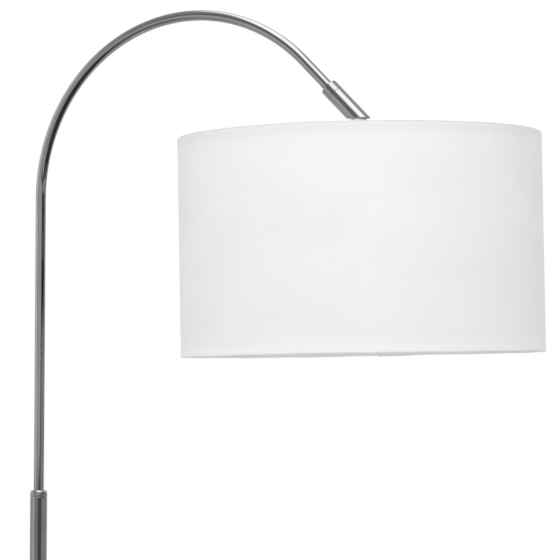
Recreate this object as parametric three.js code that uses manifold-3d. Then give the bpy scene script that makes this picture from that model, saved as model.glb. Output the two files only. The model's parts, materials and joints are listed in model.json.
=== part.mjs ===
// Arc floor lamp: a straight pole on a round weighted base, a hooked arm that swivels in the
// pole's collar, and a drum shade that tilts on a small knuckle under the arm's end.
// Millimetres, +Z up. The origin is on the pole's axis at the floor; the arm reaches along +X.
import * as THREE from 'three';
import { mergeVertices } from 'three/addons/utils/BufferGeometryUtils.js';
import Module from 'manifold-3d';

const wasm = await Module();
wasm.setup();

// Driving dimensions: base
const baseDiameter = 270;
const baseHeight = 30;
const coverWall = 1;
const coverEdgeRadius = 11;
const coverDomeDrop = 3.5;      // fall of the cover from its flat middle to its rounded edge
const padThickness = 3;
const weightInset = 5;          // room between the weight and the cover for the cord bush

// Driving dimensions: pole
const poleDiameter = 25.4;
const poleWall = 1.2;
const poleTop = 1124;           // height of the pole's upper edge
const insertLength = 30;        // threaded inserts inside the pole's ends
const studDiameter = 12.7;      // hollow threaded studs that join base and pole sections
const wireBore = 7.2;           // way for the supply lead through studs and inserts
const footFlangeDiameter = 48;

// Driving dimensions: arm
const armDiameter = 15.2;
const armWall = 1.2;
const bendStart = 1565.3;       // height at which the arm leaves the vertical
const bendRadius = 258;         // centre-line radius of the bend
const bendAngle = 134.2;        // degrees that the arm turns through
const armEndLength = 54.5;      // straight stretch from the bend to the coupler's mouth
const armDepth = 74;            // length of arm held inside the pole, under the pole's top

// Driving dimensions: collar and swivel
const collarRingHeight = 3.2;
const collarRingProud = 0.25;   // radius by which the ring stands out of the pole
const collarHeight = 9.4;       // from the pole's top to the collar's top
const collarSkirt = 30;
const bushWall = 1.5;
const stopPinDiameter = 1.5;
const stopScrewDiameter = 2.5;

// Driving dimensions: coupler and knuckle
const couplerDiameter = 25.4;
const couplerRingLength = 15.7;
const couplerLength = 66.5;     // along the axis, from the mouth to the centre of the level foot
const couplerBoreDepth = 34;    // length of arm tube held in the coupler
const chamberDiameter = 19.4;
const plugHeight = 6;
const knuckleDrop = 11.5;       // from the coupler's foot to the tilt axis
const knuckleRadius = 5.5;      // rounded ends of the knuckle's ears
const earThickness = 3.3;
const wireGap = 5.2;            // clear width between the tongue's ears

// Driving dimensions: shade and lampholder
const shadeDiameter = 508;
const shadeHeight = 304.8;
const shadeDrop = 25.1;         // from the coupler's foot to the shade's upper rim
const shadeTilt = 1.45;         // degrees that the shade hangs off square, outer side up
const fabricThickness = 0.8;
const linerThickness = 0.8;
const foldWidth = 8;            // radial width of the fabric rolled over each wire
const foldDepth = 7;
const rimWireDiameter = 4;
const spiderWireDiameter = 3.2;
const spiderArms = 3;
const holderDiameter = 38;
const holderSkirtDiameter = 34;
const hubThickness = 2.6;
const hubDiameter = 46.8;
const bulbDiameter = 60;
const bulbLength = 112;
const bulbCapDiameter = 26;
const glassWall = 1;

// Driving dimensions: leads
const leadDiameter = 5;
const wireDiameter = 2.4;

// Fits and facets
const clearance = 0.3;
const fine = 48;
const round = 20;
const small = 12;
const wireSides = 6;
const tubeSides = 12;
const bendSteps = 30;

// Derived sizes
const baseRadius = baseDiameter / 2;
const weightRadius = baseRadius - coverWall - weightInset;
const coverHoleRadius = studDiameter / 2 + clearance;
const poleRadius = poleDiameter / 2;
const insertRadius = poleRadius - poleWall - clearance;
const armRadius = armDiameter / 2;
const turn = THREE.MathUtils.degToRad(bendAngle);
const bendLength = bendRadius * turn;
const slideRadius = armRadius + clearance;
const bushRadius = slideRadius + bushWall;
const armBottom = poleTop - armDepth;
const poleFootWeb = 5;
const poleBottom = baseHeight + poleFootWeb + clearance;
const poleSplit = (poleBottom + poleTop) / 2;
const leadRadius = leadDiameter / 2;
const wireRadius = wireDiameter / 2;
const mouth = bendLength + armEndLength;
const armEnd = mouth + couplerBoreDepth;
const couplerRadius = couplerDiameter / 2;
const footPoint = armPoint(mouth + couplerLength);
const pivotPoint = new THREE.Vector3(footPoint.x, 0, footPoint.z - knuckleDrop);

// Materials: colour, roughness, metalness
const finishes = {
  nickel: [0xb9b9b6, 0.14, 1],
  castIron: [0x35363a, 0.8, 0.6],
  zinc: [0x9da1a3, 0.4, 1],
  felt: [0x202022, 0.95, 0],
  rubber: [0x1b1b1c, 0.7, 0],
  lead: [0x242426, 0.55, 0],
  acetal: [0xd8d8d2, 0.5, 0],
  whitePaint: [0xf0f0ee, 0.35, 0],
  whitePlastic: [0xececea, 0.3, 0],
  ceramic: [0xe9e6de, 0.45, 0],
  brass: [0xb08d48, 0.3, 1],
  aluminium: [0xbfc2c4, 0.35, 1],
  glass: [0xf6f6f2, 0.5, 0],
  fabric: [0xf4f4f2, 0.9, 0],
  liner: [0xf8f8f5, 0.6, 0],
};

const lamp = new THREE.Group();
lamp.name = 'arc_floor_lamp';
const coupling = new THREE.Group();
const head = new THREE.Group();
lamp.add(coupling, head);

// ---- helpers -------------------------------------------------------------------------

function place(name, geometry, finish, parent = lamp) {
  const [color, roughness, metalness] = finishes[finish];
  const material = new THREE.MeshStandardMaterial({ color, roughness, metalness });
  const mesh = new THREE.Mesh(geometry, material);
  mesh.name = name;
  parent.add(mesh);
  return mesh;
}

// Turns an outline of [radius, height] points about Z. An outline that doesn't start and end
// on the axis is closed on itself. The points may be given in either sense.
function turned(outline, segments = round) {
  const points = outline.map(([radius, height]) => new THREE.Vector2(radius, height));
  const first = points[0];
  const last = points[points.length - 1];
  if (THREE.ShapeUtils.area(points) < 0) points.reverse();
  if (first.x > 0 || last.x > 0) points.push(points[0].clone());
  return new THREE.LatheGeometry(points, segments).rotateX(Math.PI / 2);
}

function rod(radius, low, high, segments = small) {
  return turned([[0, low], [radius, low], [radius, high], [0, high]], segments);
}

function sleeve(radius, bore, low, high, segments = round) {
  return turned([[bore, low], [radius, low], [radius, high], [bore, high]], segments);
}

function hexPrism(acrossFlats, bore, low, high) {
  const corner = acrossFlats / 2 / Math.cos(Math.PI / 6);
  const shape = new THREE.Shape(circle(corner, 6));
  shape.holes.push(new THREE.Path(circle(bore, small)));
  const geometry = new THREE.ExtrudeGeometry(shape, { depth: high - low, bevelEnabled: false });
  return geometry.translate(0, 0, low);
}

function circle(radius, sides) {
  const points = [];
  for (let i = 0; i < sides; i += 1) {
    const angle = (2 * Math.PI * i) / sides;
    points.push(new THREE.Vector2(radius * Math.cos(angle), radius * Math.sin(angle)));
  }
  return points;
}

// Points of a quarter round between two angles in degrees, as [radius, height] pairs.
function roundedEdge(centreRadius, centreHeight, radius, from, to, steps) {
  const points = [];
  for (let i = 0; i <= steps; i += 1) {
    const angle = THREE.MathUtils.degToRad(from + ((to - from) * i) / steps);
    const r = centreRadius + radius * Math.cos(angle);
    points.push([r, centreHeight + radius * Math.sin(angle)]);
  }
  return points;
}

function sweep(curve, radius, bore, sides, steps) {
  const section = new THREE.Shape(circle(radius, sides));
  if (bore > 0) section.holes.push(new THREE.Path(circle(bore, sides)));
  return new THREE.ExtrudeGeometry(section, { steps, bevelEnabled: false, extrudePath: curve });
}

function solid(geometry) {
  const bare = geometry.clone();
  bare.deleteAttribute('normal');
  bare.deleteAttribute('uv');
  const merged = mergeVertices(bare, 1e-4);
  const vertProperties = new Float32Array(merged.attributes.position.array);
  const triVerts = new Uint32Array(merged.index.array);
  return new wasm.Manifold(new wasm.Mesh({ numProp: 3, vertProperties, triVerts }));
}

function geometryOf(manifold) {
  const { vertProperties, triVerts } = manifold.getMesh();
  const geometry = new THREE.BufferGeometry();
  geometry.setAttribute('position', new THREE.BufferAttribute(vertProperties, 3));
  geometry.setIndex(new THREE.BufferAttribute(triVerts, 1));
  geometry.computeVertexNormals();
  return geometry;
}

function cut(geometry, ...tools) {
  return geometryOf(tools.reduce((body, tool) => body.subtract(solid(tool)), solid(geometry)));
}

function join(geometry, ...others) {
  return geometryOf(others.reduce((body, other) => body.add(solid(other)), solid(geometry)));
}

function common(geometry, other) {
  return geometryOf(solid(geometry).intersect(solid(other)));
}

// ---- the arm's centre line -----------------------------------------------------------

// A point of the arm's centre line at a distance from the start of the bend: the distance
// is negative on the vertical stretch and runs past bendLength on the straight end.
function armPoint(distance) {
  const angle = THREE.MathUtils.clamp(distance / bendRadius, 0, turn);
  const below = Math.min(distance, 0);
  const beyond = Math.max(distance - bendLength, 0);
  const x = bendRadius * (1 - Math.cos(angle)) + beyond * Math.sin(angle);
  const z = bendStart + bendRadius * Math.sin(angle) + below + beyond * Math.cos(angle);
  return new THREE.Vector3(x, 0, z);
}

// A stretch of the centre line. Its stations, in equal shares of the parameter, are its two
// ends and even steps round the bend, so that the straight stretches take one step each.
class ArmLine extends THREE.Curve {
  constructor(from, to) {
    super();
    this.stations = [from];
    for (let i = 0; i <= bendSteps; i += 1) this.stations.push((bendLength * i) / bendSteps);
    this.stations.push(to);
    this.steps = this.stations.length - 1;
  }

  getPoint(t) {
    const place = t * this.steps;
    const index = Math.min(Math.max(Math.floor(place), 0), this.steps - 1);
    const from = this.stations[index];
    return armPoint(from + (place - index) * (this.stations[index + 1] - from));
  }

  getUtoTmapping(u) {
    return u;
  }
}

// ---- base ----------------------------------------------------------------------------

const weightBottom = padThickness + clearance;
const coverRim = padThickness - 1;
const edgeCentreRadius = baseRadius - coverEdgeRadius;
const edgeCentreHeight = baseHeight - coverDomeDrop - coverEdgeRadius;
const inletHeight = 7.2;
const leadBend = 7.5;
const studBottom = inletHeight + leadBend;
const nutHeight = 5;
const nutBottom = studBottom + 0.6;
const washerBottom = nutBottom + nutHeight + clearance;
const washerThickness = 1.4;
const recessTop = washerBottom + washerThickness + clearance;
const recessRadius = studDiameter + 4;
const flatRadius = baseRadius / 3;
const bushBodyRadius = leadRadius + 1.6;

function buildBasePad() {
  place('base_pad', rod(weightRadius - 2, 0, padThickness, fine), 'felt');
}

function buildBaseWeight() {
  const top = baseHeight - coverWall - clearance;
  const edge = top - coverDomeDrop;
  const disc = turned([
    [coverHoleRadius, recessTop], [recessRadius, recessTop], [recessRadius, weightBottom],
    [weightRadius, weightBottom], [weightRadius, edge - 7], [edgeCentreRadius, edge],
    [flatRadius, top], [coverHoleRadius, top],
  ], fine);
  const slotWidth = leadDiameter + 3;
  const slotHeight = inletHeight + leadRadius + 1 - weightBottom;
  const slot = new THREE.BoxGeometry(weightRadius + 2, slotWidth, slotHeight + 1);
  slot.translate(-(weightRadius + 2) / 2, 0, weightBottom - 1 + (slotHeight + 1) / 2);
  place('base_weight', cut(disc, slot), 'castIron');
}

function buildBaseCover() {
  const outer = [
    [coverHoleRadius, baseHeight], [flatRadius, baseHeight],
    ...roundedEdge(edgeCentreRadius, edgeCentreHeight, coverEdgeRadius, 90, 0, 3),
    [baseRadius, coverRim],
  ];
  const inner = [
    [baseRadius - coverWall, coverRim],
    ...roundedEdge(edgeCentreRadius, edgeCentreHeight, coverEdgeRadius - coverWall, 0, 90, 3),
    [flatRadius, baseHeight - coverWall], [coverHoleRadius, baseHeight - coverWall],
  ];
  const hole = rod(bushBodyRadius + clearance, -4, 4);
  hole.rotateY(Math.PI / 2).translate(-baseRadius, 0, inletHeight);
  place('base_cover', cut(turned([...outer, ...inner], fine), hole), 'nickel');
}

// A rubber bush in the cover's wall, where the supply cord enters at the back of the base.
function buildCordBush() {
  const lip = 1.6;
  const grip = 0.5;
  const flange = bushBodyRadius + 1.2;
  const outside = baseRadius + grip;
  const inside = baseRadius - coverWall - clearance - grip;
  const bush = turned([
    [leadRadius + clearance, inside - lip], [flange, inside - lip], [flange, inside],
    [bushBodyRadius, inside], [bushBodyRadius, outside], [flange, outside],
    [flange, outside + lip], [leadRadius + clearance, outside + lip],
  ], small);
  bush.rotateY(-Math.PI / 2).translate(0, 0, inletHeight);
  place('cord_bush', bush, 'rubber');
  return outside + lip;
}

function buildBaseFasteners() {
  const studRadius = studDiameter / 2;
  const studTop = poleBottom + insertLength - 4;
  place('base_stud', sleeve(studRadius, wireBore / 2, studBottom, studTop, small), 'zinc');
  const bore = studRadius + clearance;
  const nut = hexPrism(studDiameter + 6.3, bore, nutBottom, nutBottom + nutHeight);
  place('base_nut', nut, 'zinc');
  const washerTop = washerBottom + washerThickness;
  place('base_washer', sleeve(recessRadius - 2, bore, washerBottom, washerTop), 'zinc');
}

// ---- pole ----------------------------------------------------------------------------

function buildPoleFoot() {
  const seat = baseHeight + clearance;
  const socketRadius = poleRadius + clearance;
  const wallRadius = socketRadius + 2.5;
  const flangeRadius = footFlangeDiameter / 2;
  const blend = flangeRadius - wallRadius;
  const foot = turned([
    [coverHoleRadius, seat], [flangeRadius, seat],
    ...roundedEdge(flangeRadius, seat + 2 + blend, blend, 270, 180, 3),
    [wallRadius, seat + blend + 7], [wallRadius - 1, seat + blend + 8],
    [socketRadius, seat + blend + 8], [socketRadius, seat + poleFootWeb - clearance],
    [coverHoleRadius, seat + poleFootWeb - clearance],
  ], round);
  place('pole_foot', foot, 'nickel');
}

function buildPole() {
  const bore = poleRadius - poleWall;
  const half = clearance / 2;
  place('pole_lower', sleeve(poleRadius, bore, poleBottom, poleSplit - half), 'nickel');
  place('pole_upper', sleeve(poleRadius, bore, poleSplit + half, poleTop), 'nickel');
}

// Threaded inserts: one in the pole's foot, and a socket and stud where its halves join.
function buildPoleInserts() {
  const half = clearance / 2;
  const studRadius = studDiameter / 2;
  const threadBore = studRadius + clearance;
  const wire = wireBore / 2;
  const footTop = poleBottom + insertLength;
  place('pole_foot_insert', sleeve(insertRadius, threadBore, poleBottom, footTop), 'zinc');
  const socketTop = poleSplit - half;
  const socket = sleeve(insertRadius, threadBore, socketTop - insertLength, socketTop);
  place('pole_joint_socket', socket, 'zinc');
  const seat = poleSplit + half;
  const stud = turned([
    [wire, socketTop - insertLength + 6], [studRadius, socketTop - insertLength + 6],
    [studRadius, seat], [insertRadius, seat], [insertRadius, seat + insertLength],
    [wire, seat + insertLength],
  ], round);
  place('pole_joint_stud', stud, 'zinc');
}

// ---- collar and swivel ---------------------------------------------------------------

const collarTop = poleTop + collarHeight;
const collarSeat = poleTop + collarRingHeight + 2 * clearance;
const skirtBottom = poleTop - collarSkirt;
const collarLip = 2.5;
const bushFlangeTop = skirtBottom - clearance;
const bushFlangeBottom = bushFlangeTop - 3;
const stopPinCircle = (slideRadius + insertRadius - clearance) / 2;
const stopHeight = bushFlangeBottom - 8;
const stopPinBottom = stopHeight - 6;
const armFootFlange = 4;
const thrustTop = armBottom - armFootFlange - 2 * clearance;
const thrustThickness = 2;

function buildCollar() {
  const ringTop = poleTop + clearance + collarRingHeight;
  const ringRadius = poleRadius + collarRingProud;
  const ringBore = insertRadius + clearance;
  place('collar_ring', sleeve(ringRadius, ringBore, poleTop + clearance, ringTop), 'nickel');
  const edge = poleRadius - bushRadius;
  const bore = bushRadius + clearance;
  const collar = turned([
    [slideRadius, collarTop], [bushRadius, collarTop],
    ...roundedEdge(bushRadius, collarTop - edge, edge, 70, 0, 3),
    [poleRadius, collarSeat], [insertRadius, collarSeat], [insertRadius, skirtBottom],
    [bore, skirtBottom], [bore, collarTop - collarLip], [slideRadius, collarTop - collarLip],
  ]);
  place('collar', collar, 'nickel');
}

// The arm turns in this sleeve. Its flange holds the pin that the arm's stop screw meets.
function buildSwivelBush() {
  const flange = insertRadius - clearance;
  const bush = turned([
    [slideRadius, bushFlangeBottom], [flange, bushFlangeBottom], [flange, bushFlangeTop],
    [bushRadius, bushFlangeTop], [bushRadius, collarTop - collarLip - clearance],
    [slideRadius, collarTop - collarLip - clearance],
  ]);
  const pinRadius = stopPinDiameter / 2;
  const hole = rod(pinRadius + clearance, bushFlangeBottom - 1, bushFlangeTop - 1, wireSides);
  hole.translate(-stopPinCircle, 0, 0);
  place('swivel_bush', cut(bush, hole), 'acetal');
  const pin = rod(pinRadius, stopPinBottom, bushFlangeTop - 1 - clearance, wireSides);
  place('swivel_stop_pin', pin.translate(-stopPinCircle, 0, 0), 'zinc');
}

function buildThrustSeat() {
  const washerLow = thrustTop - thrustThickness;
  const washerRadius = insertRadius - clearance;
  place('thrust_washer', sleeve(washerRadius, wireBore / 2, washerLow, thrustTop), 'acetal');
  const seatTop = washerLow - clearance;
  const seat = sleeve(insertRadius, wireBore / 2, seatTop - insertLength / 2, seatTop);
  place('thrust_seat', seat, 'zinc');
}

// ---- arm -----------------------------------------------------------------------------

function buildArmTube() {
  const line = new ArmLine(armBottom - bendStart, armEnd);
  const tube = sweep(line, armRadius, armRadius - armWall, tubeSides, line.steps);
  const hole = rod(stopScrewDiameter / 2 + clearance, 0, 2 * armRadius, wireSides);
  hole.rotateY(Math.PI / 2).translate(0, 0, stopHeight);
  place('arm_tube', cut(tube, hole), 'nickel');
}

function buildArmFoot() {
  const low = armBottom - clearance - armFootFlange;
  const seat = armBottom - clearance;
  const plug = (armRadius - armWall) * Math.cos(Math.PI / tubeSides) - clearance;
  const foot = turned([
    [wireBore / 2, low], [bushRadius, low], [bushRadius, seat], [plug, seat],
    [plug, seat + 2 * armDiameter / 2], [wireBore / 2, seat + 2 * armDiameter / 2],
  ]);
  place('arm_foot', foot, 'acetal');
}

function buildStopScrew() {
  const reach = insertRadius - clearance;
  const screw = rod(stopScrewDiameter / 2, armRadius - armWall, reach, wireSides);
  screw.rotateY(Math.PI / 2).translate(0, 0, stopHeight);
  place('arm_stop_screw', screw, 'zinc');
}

// ---- coupler -------------------------------------------------------------------------

// The coupling group sits at the coupler's mouth with its -Z along the arm's straight end.
coupling.position.copy(armPoint(mouth));
coupling.rotation.y = -(Math.PI - turn);
const footReach = couplerRadius * Math.abs(Math.tan(turn - Math.PI / 2)) + 4;

// A block that holds everything under a level, in the coupling group's own coordinates.
function belowLevel(height) {
  const size = 8 * couplerRadius;
  const block = new THREE.BoxGeometry(size, size, size);
  block.translate(footPoint.x, 0, height - size / 2);
  coupling.updateMatrixWorld(true);
  return block.applyMatrix4(coupling.matrixWorld.clone().invert());
}

function buildCouplerRing() {
  const edge = 0.8;
  const ring = turned([
    [slideRadius, 0], [couplerRadius - edge, 0], [couplerRadius, -edge],
    [couplerRadius, -couplerRingLength], [slideRadius, -couplerRingLength],
  ]);
  place('coupler_ring', ring, 'nickel', coupling);
}

function screwTool(radius, from, to) {
  const depth = (couplerRingLength + couplerBoreDepth) / 2;
  return rod(radius, from, to, wireSides).rotateY(-Math.PI / 2).translate(0, 0, -depth);
}

function buildCoupler() {
  const top = -couplerRingLength - clearance;
  const low = -couplerLength - footReach - 10;
  const chamber = chamberDiameter / 2;
  const shoulder = -couplerBoreDepth - clearance;
  const bar = turned([
    [slideRadius, top], [couplerRadius, top], [couplerRadius, low], [chamber, low],
    [chamber, shoulder], [slideRadius, shoulder],
  ]);
  const hole = screwTool(2 + clearance, armRadius, couplerRadius + 2);
  place('coupler', cut(bar, belowLevel(footPoint.z), hole, acuteCorner()), 'nickel', coupling);
  const screw = screwTool(2, armRadius + 2 * clearance, couplerRadius - clearance);
  place('coupler_screw', screw, 'zinc', coupling);
}

// The corner under the outer side of the coupler's foot is blunted.
function acuteCorner() {
  const blunt = 5;
  const tip = footPoint.x + couplerRadius / Math.sin(turn - Math.PI / 2);
  const size = 4 * couplerRadius;
  const block = new THREE.BoxGeometry(size, size, size);
  block.translate(size / 2, 0, 0).rotateY(Math.PI / 8);
  block.translate(tip - blunt, 0, footPoint.z);
  coupling.updateMatrixWorld(true);
  return block.applyMatrix4(coupling.matrixWorld.clone().invert());
}

// A plug that closes the coupler's foot and takes the hollow nipple that holds the knuckle.
function buildCouplerPlug() {
  const radius = chamberDiameter / 2 - clearance;
  const blank = rod(radius, -couplerLength - footReach, -couplerBoreDepth, round);
  const level = cut(blank, belowLevel(footPoint.z));
  const plug = common(level, belowLevel(footPoint.z + plugHeight));
  const bore = rod(nippleRadius + clearance, -1, plugHeight + 1);
  bore.translate(footPoint.x, 0, footPoint.z);
  coupling.updateMatrixWorld(true);
  bore.applyMatrix4(coupling.matrixWorld.clone().invert());
  place('coupler_plug', cut(plug, bore), 'zinc', coupling);
}

// ---- knuckle -------------------------------------------------------------------------

const nippleRadius = 5;
const nippleBore = 3;
const forkTop = footPoint.z - clearance;
const forkPlate = 4;
const forkPlateRadius = 10.5;
const pivotScrewRadius = 1.5;
const innerEar = wireGap / 2;
const outerEar = innerEar + earThickness + clearance;

function buildNeckNipple() {
  const nipple = sleeve(nippleRadius, nippleBore, forkTop - forkPlate, footPoint.z + plugHeight + 1);
  place('neck_nipple', nipple.translate(footPoint.x, 0, 0), 'zinc');
}

// An ear of the knuckle with its round end on the tilt axis, running up or down to a plate.
function ear(start, length, side) {
  const outline = new THREE.Shape();
  outline.moveTo(-knuckleRadius, length);
  outline.lineTo(-knuckleRadius, 0);
  const sense = length < 0;
  outline.absarc(0, 0, knuckleRadius, Math.PI, 0, sense);
  outline.lineTo(knuckleRadius, length);
  outline.holes.push(new THREE.Path(circle(pivotScrewRadius + clearance, small)));
  const options = { depth: earThickness, curveSegments: 6, bevelEnabled: false };
  const geometry = new THREE.ExtrudeGeometry(outline, options);
  geometry.rotateX(Math.PI / 2);
  return geometry.translate(0, side > 0 ? start + earThickness : -start, 0);
}

function buildFork() {
  const plateTop = forkTop - pivotPoint.z;
  const plate = sleeve(forkPlateRadius, nippleRadius + clearance, plateTop - forkPlate, plateTop);
  const reach = plateTop - 1;
  const fork = join(plate, ear(outerEar, reach, 1), ear(outerEar, reach, -1));
  const mesh = place('knuckle_fork', fork, 'whitePaint');
  mesh.position.copy(pivotPoint);
}

function buildPivotScrew(name, side) {
  const from = innerEar + clearance;
  const seat = outerEar + earThickness + clearance;
  const screw = turned([
    [0, from], [pivotScrewRadius, from], [pivotScrewRadius, seat], [3, seat],
    [2.4, seat + 1.6], [0, seat + 1.6],
  ], small);
  screw.rotateX(side > 0 ? -Math.PI / 2 : Math.PI / 2);
  const mesh = place(name, screw, 'whitePaint');
  mesh.position.copy(pivotPoint);
}

// ---- head: everything under the tilt axis, in the head group's own coordinates ---------

head.position.copy(pivotPoint);
head.rotation.y = -THREE.MathUtils.degToRad(shadeTilt);

const tonguePlateTop = -knuckleRadius - 0.6;
const tonguePlateLow = tonguePlateTop - 3.4;
const stemLow = tonguePlateLow - 10.5;
const capTop = tonguePlateLow - clearance;
const capLow = capTop - 28.2;
const holderRadius = holderDiameter / 2;
const holderWall = 2;
const capCeiling = stemLow - clearance;
const bodyTop = capLow - clearance;
const hubSeat = bodyTop - 5.7;
const skirtRadius = holderSkirtDiameter / 2;
const bodyLow = hubSeat - 34;
const hubTop = hubSeat - clearance;
const hubLow = hubTop - hubThickness;
const coreTop = bodyTop - 2;
const coreLow = coreTop - 12;
const contactLow = coreLow - clearance - 4.7;
const switchAxis = capCeiling - 10;
const shadeTop = knuckleDrop - shadeDrop;
const shadeBottom = shadeTop - shadeHeight;
const shadeRadius = shadeDiameter / 2;

function buildTongue() {
  const stemRadius = nippleRadius - clearance;
  const plate = turned([
    [nippleBore, stemLow], [stemRadius, stemLow], [stemRadius, tonguePlateLow],
    [forkPlateRadius - 1.5, tonguePlateLow], [forkPlateRadius - 1.5, tonguePlateTop],
    [nippleBore, tonguePlateTop],
  ]);
  const reach = tonguePlateTop - 1;
  const tongue = join(plate, ear(innerEar, reach, 1), ear(innerEar, reach, -1));
  place('knuckle_tongue', tongue, 'whitePaint', head);
}

function buildHolderCap() {
  const neck = nippleRadius + 3.5;
  const inside = holderRadius - holderWall;
  const cap = turned([
    [nippleRadius, capTop], [neck, capTop], [neck, capTop - 4],
    [holderRadius - 2, capTop - 9], [holderRadius, capTop - 12], [holderRadius, capLow],
    [inside, capLow], [inside, capCeiling - 4], [inside - 3, capCeiling],
    [nippleRadius, capCeiling],
  ]);
  const hole = rod(switchShaftRadius + clearance, inside - 4, holderRadius + 4, wireSides);
  hole.rotateX(Math.PI / 2).translate(0, 0, switchAxis);
  place('holder_cap', cut(cap, hole), 'whitePlastic', head);
}

function buildHolderBody() {
  const inside = skirtRadius - holderWall;
  const body = turned([
    [inside, bodyTop], [holderRadius, bodyTop], [holderRadius, hubSeat],
    [skirtRadius, hubSeat], [skirtRadius, bodyLow], [inside, bodyLow],
  ]);
  place('holder_body', body, 'whitePlastic', head);
  const core = turned([
    [0, coreLow], [inside - clearance, coreLow], [inside - clearance, coreTop],
    [0, coreTop],
  ]);
  place('holder_core', core, 'ceramic', head);
}

function buildHolderContacts() {
  const shellRadius = bulbCapDiameter / 2 + 0.9;
  const shellBore = bulbCapDiameter / 2 + clearance;
  const top = coreLow - clearance;
  const shell = turned([
    [5, top], [shellRadius, top], [shellRadius, bodyLow + 2], [shellBore, bodyLow + 2],
    [shellBore, top - 0.6], [5, top - 0.6],
  ]);
  place('screw_shell', shell, 'brass', head);
  place('centre_contact', rod(2.5, contactLow, top), 'brass', head);
}

function buildShadeClamp() {
  const ring = turned([
    [skirtRadius + clearance, hubLow - clearance], [skirtRadius + 7, hubLow - clearance],
    [skirtRadius + 7, hubLow - 4], [skirtRadius + 2.5, hubLow - 9],
    [skirtRadius + clearance, hubLow - 9],
  ]);
  place('shade_clamp_ring', ring, 'whitePlastic', head);
}

// ---- switch --------------------------------------------------------------------------

const switchShaftRadius = 1.8;
const switchBlockFront = 10;

function buildSwitch() {
  const block = new THREE.BoxGeometry(14, 17, 11);
  block.translate(0, 8.5 - switchBlockFront, switchAxis);
  place('switch_block', block, 'ceramic', head);
  const shaftEnd = holderRadius + 12;
  const shaft = rod(switchShaftRadius, switchBlockFront + clearance, shaftEnd, wireSides);
  shaft.rotateX(Math.PI / 2);
  place('switch_shaft', shaft, 'brass', head).position.z = switchAxis;
  const knob = turned([
    [0, shaftEnd + clearance], [4, shaftEnd + clearance], [5.5, shaftEnd + 2],
    [5.5, shaftEnd + 8], [4.5, shaftEnd + 9.5], [0, shaftEnd + 9.5],
  ], small);
  const wing = new THREE.BoxGeometry(3.4, 16, 7);
  wing.translate(0, 0, shaftEnd + 5.5);
  const key = join(knob, wing).rotateX(Math.PI / 2);
  place('switch_knob', key, 'whitePlastic', head).position.z = switchAxis;
}

// ---- bulb ----------------------------------------------------------------------------

const tipTop = contactLow - clearance;
const bulbCapTop = tipTop - 2.6;
const bulbCapLow = bulbCapTop - 25;
const bulbLow = tipTop - bulbLength;

function buildBulb() {
  const capRadius = bulbCapDiameter / 2;
  place('bulb_contact', rod(4, bulbCapTop + clearance, tipTop), 'brass', head);
  const cap = turned([
    [0, bulbCapLow], [capRadius - 1, bulbCapLow], [capRadius - 0.2, bulbCapLow + 3],
    [capRadius - 0.2, bulbCapTop - 4], [capRadius - 4, bulbCapTop], [0, bulbCapTop],
  ]);
  place('bulb_cap', cap, 'aluminium', head);
  const neck = capRadius - 1.2;
  const globe = bulbDiameter / 2;
  const centre = bulbLow + globe;
  const throat = bulbCapLow - clearance;
  const waist = (throat + centre) / 2 + 4;
  const outline = (inset) => [
    [neck - inset, throat], [(neck + globe) / 2 + 1 - inset, waist],
    ...roundedEdge(0, centre, globe - inset, 12, -72, 6),
  ];
  const outer = [...outline(0), [0, bulbLow]];
  const inner = [[0, bulbLow + glassWall], ...outline(glassWall).reverse()];
  place('bulb_glass', glassShell(outer, inner), 'glass', head);
}

// A thin shell open at its neck: the outer and inner walls meet on the neck's rim.
function glassShell(outer, inner) {
  const points = [...inner, ...outer].map(([radius, height]) => new THREE.Vector2(radius, height));
  if (THREE.ShapeUtils.area(points) < 0) points.reverse();
  return new THREE.LatheGeometry(points, round).rotateX(Math.PI / 2);
}

// ---- shade ---------------------------------------------------------------------------

const foldRadius = shadeRadius - foldWidth;
const linerRadius = shadeRadius - fabricThickness - clearance;
const linerBore = linerRadius - linerThickness;
const rimWireRadius = rimWireDiameter / 2;
const rimCircle = (foldRadius + fabricThickness + linerBore) / 2;
const spiderRadius = spiderWireDiameter / 2;
const spiderLevel = shadeTop - foldDepth - spiderRadius - clearance - 0.1;
const topWireLevel = spiderLevel + spiderRadius + clearance + rimWireRadius;
const bottomWireLevel = shadeBottom + shadeTop - topWireLevel;

function buildShadeFabric() {
  const t = fabricThickness;
  const foldTop = shadeTop - foldDepth;
  const foldLow = shadeBottom + foldDepth;
  const fabric = turned([
    [shadeRadius, shadeBottom], [shadeRadius, shadeTop],
    [foldRadius, shadeTop], [foldRadius, foldTop], [foldRadius + t, foldTop],
    [foldRadius + t, shadeTop - t], [shadeRadius - t, shadeTop - t],
    [shadeRadius - t, shadeBottom + t], [foldRadius + t, shadeBottom + t],
    [foldRadius + t, foldLow], [foldRadius, foldLow], [foldRadius, shadeBottom],
  ], fine);
  place('shade_fabric', fabric, 'fabric', head);
}

function buildShadeLiner() {
  const inset = fabricThickness + clearance;
  const liner = sleeve(linerRadius, linerBore, shadeBottom + inset, shadeTop - inset, fine);
  place('shade_liner', liner, 'liner', head);
}

function buildRimWire(name, level) {
  const outline = circle(rimWireRadius, wireSides).map((p) => [rimCircle + p.x, level + p.y]);
  place(name, turned(outline, fine), 'whitePaint', head);
}

function buildSpiderHub() {
  const bore = skirtRadius + clearance;
  place('spider_hub', sleeve(hubDiameter / 2, bore, hubLow, hubTop), 'whitePaint', head);
}

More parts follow.
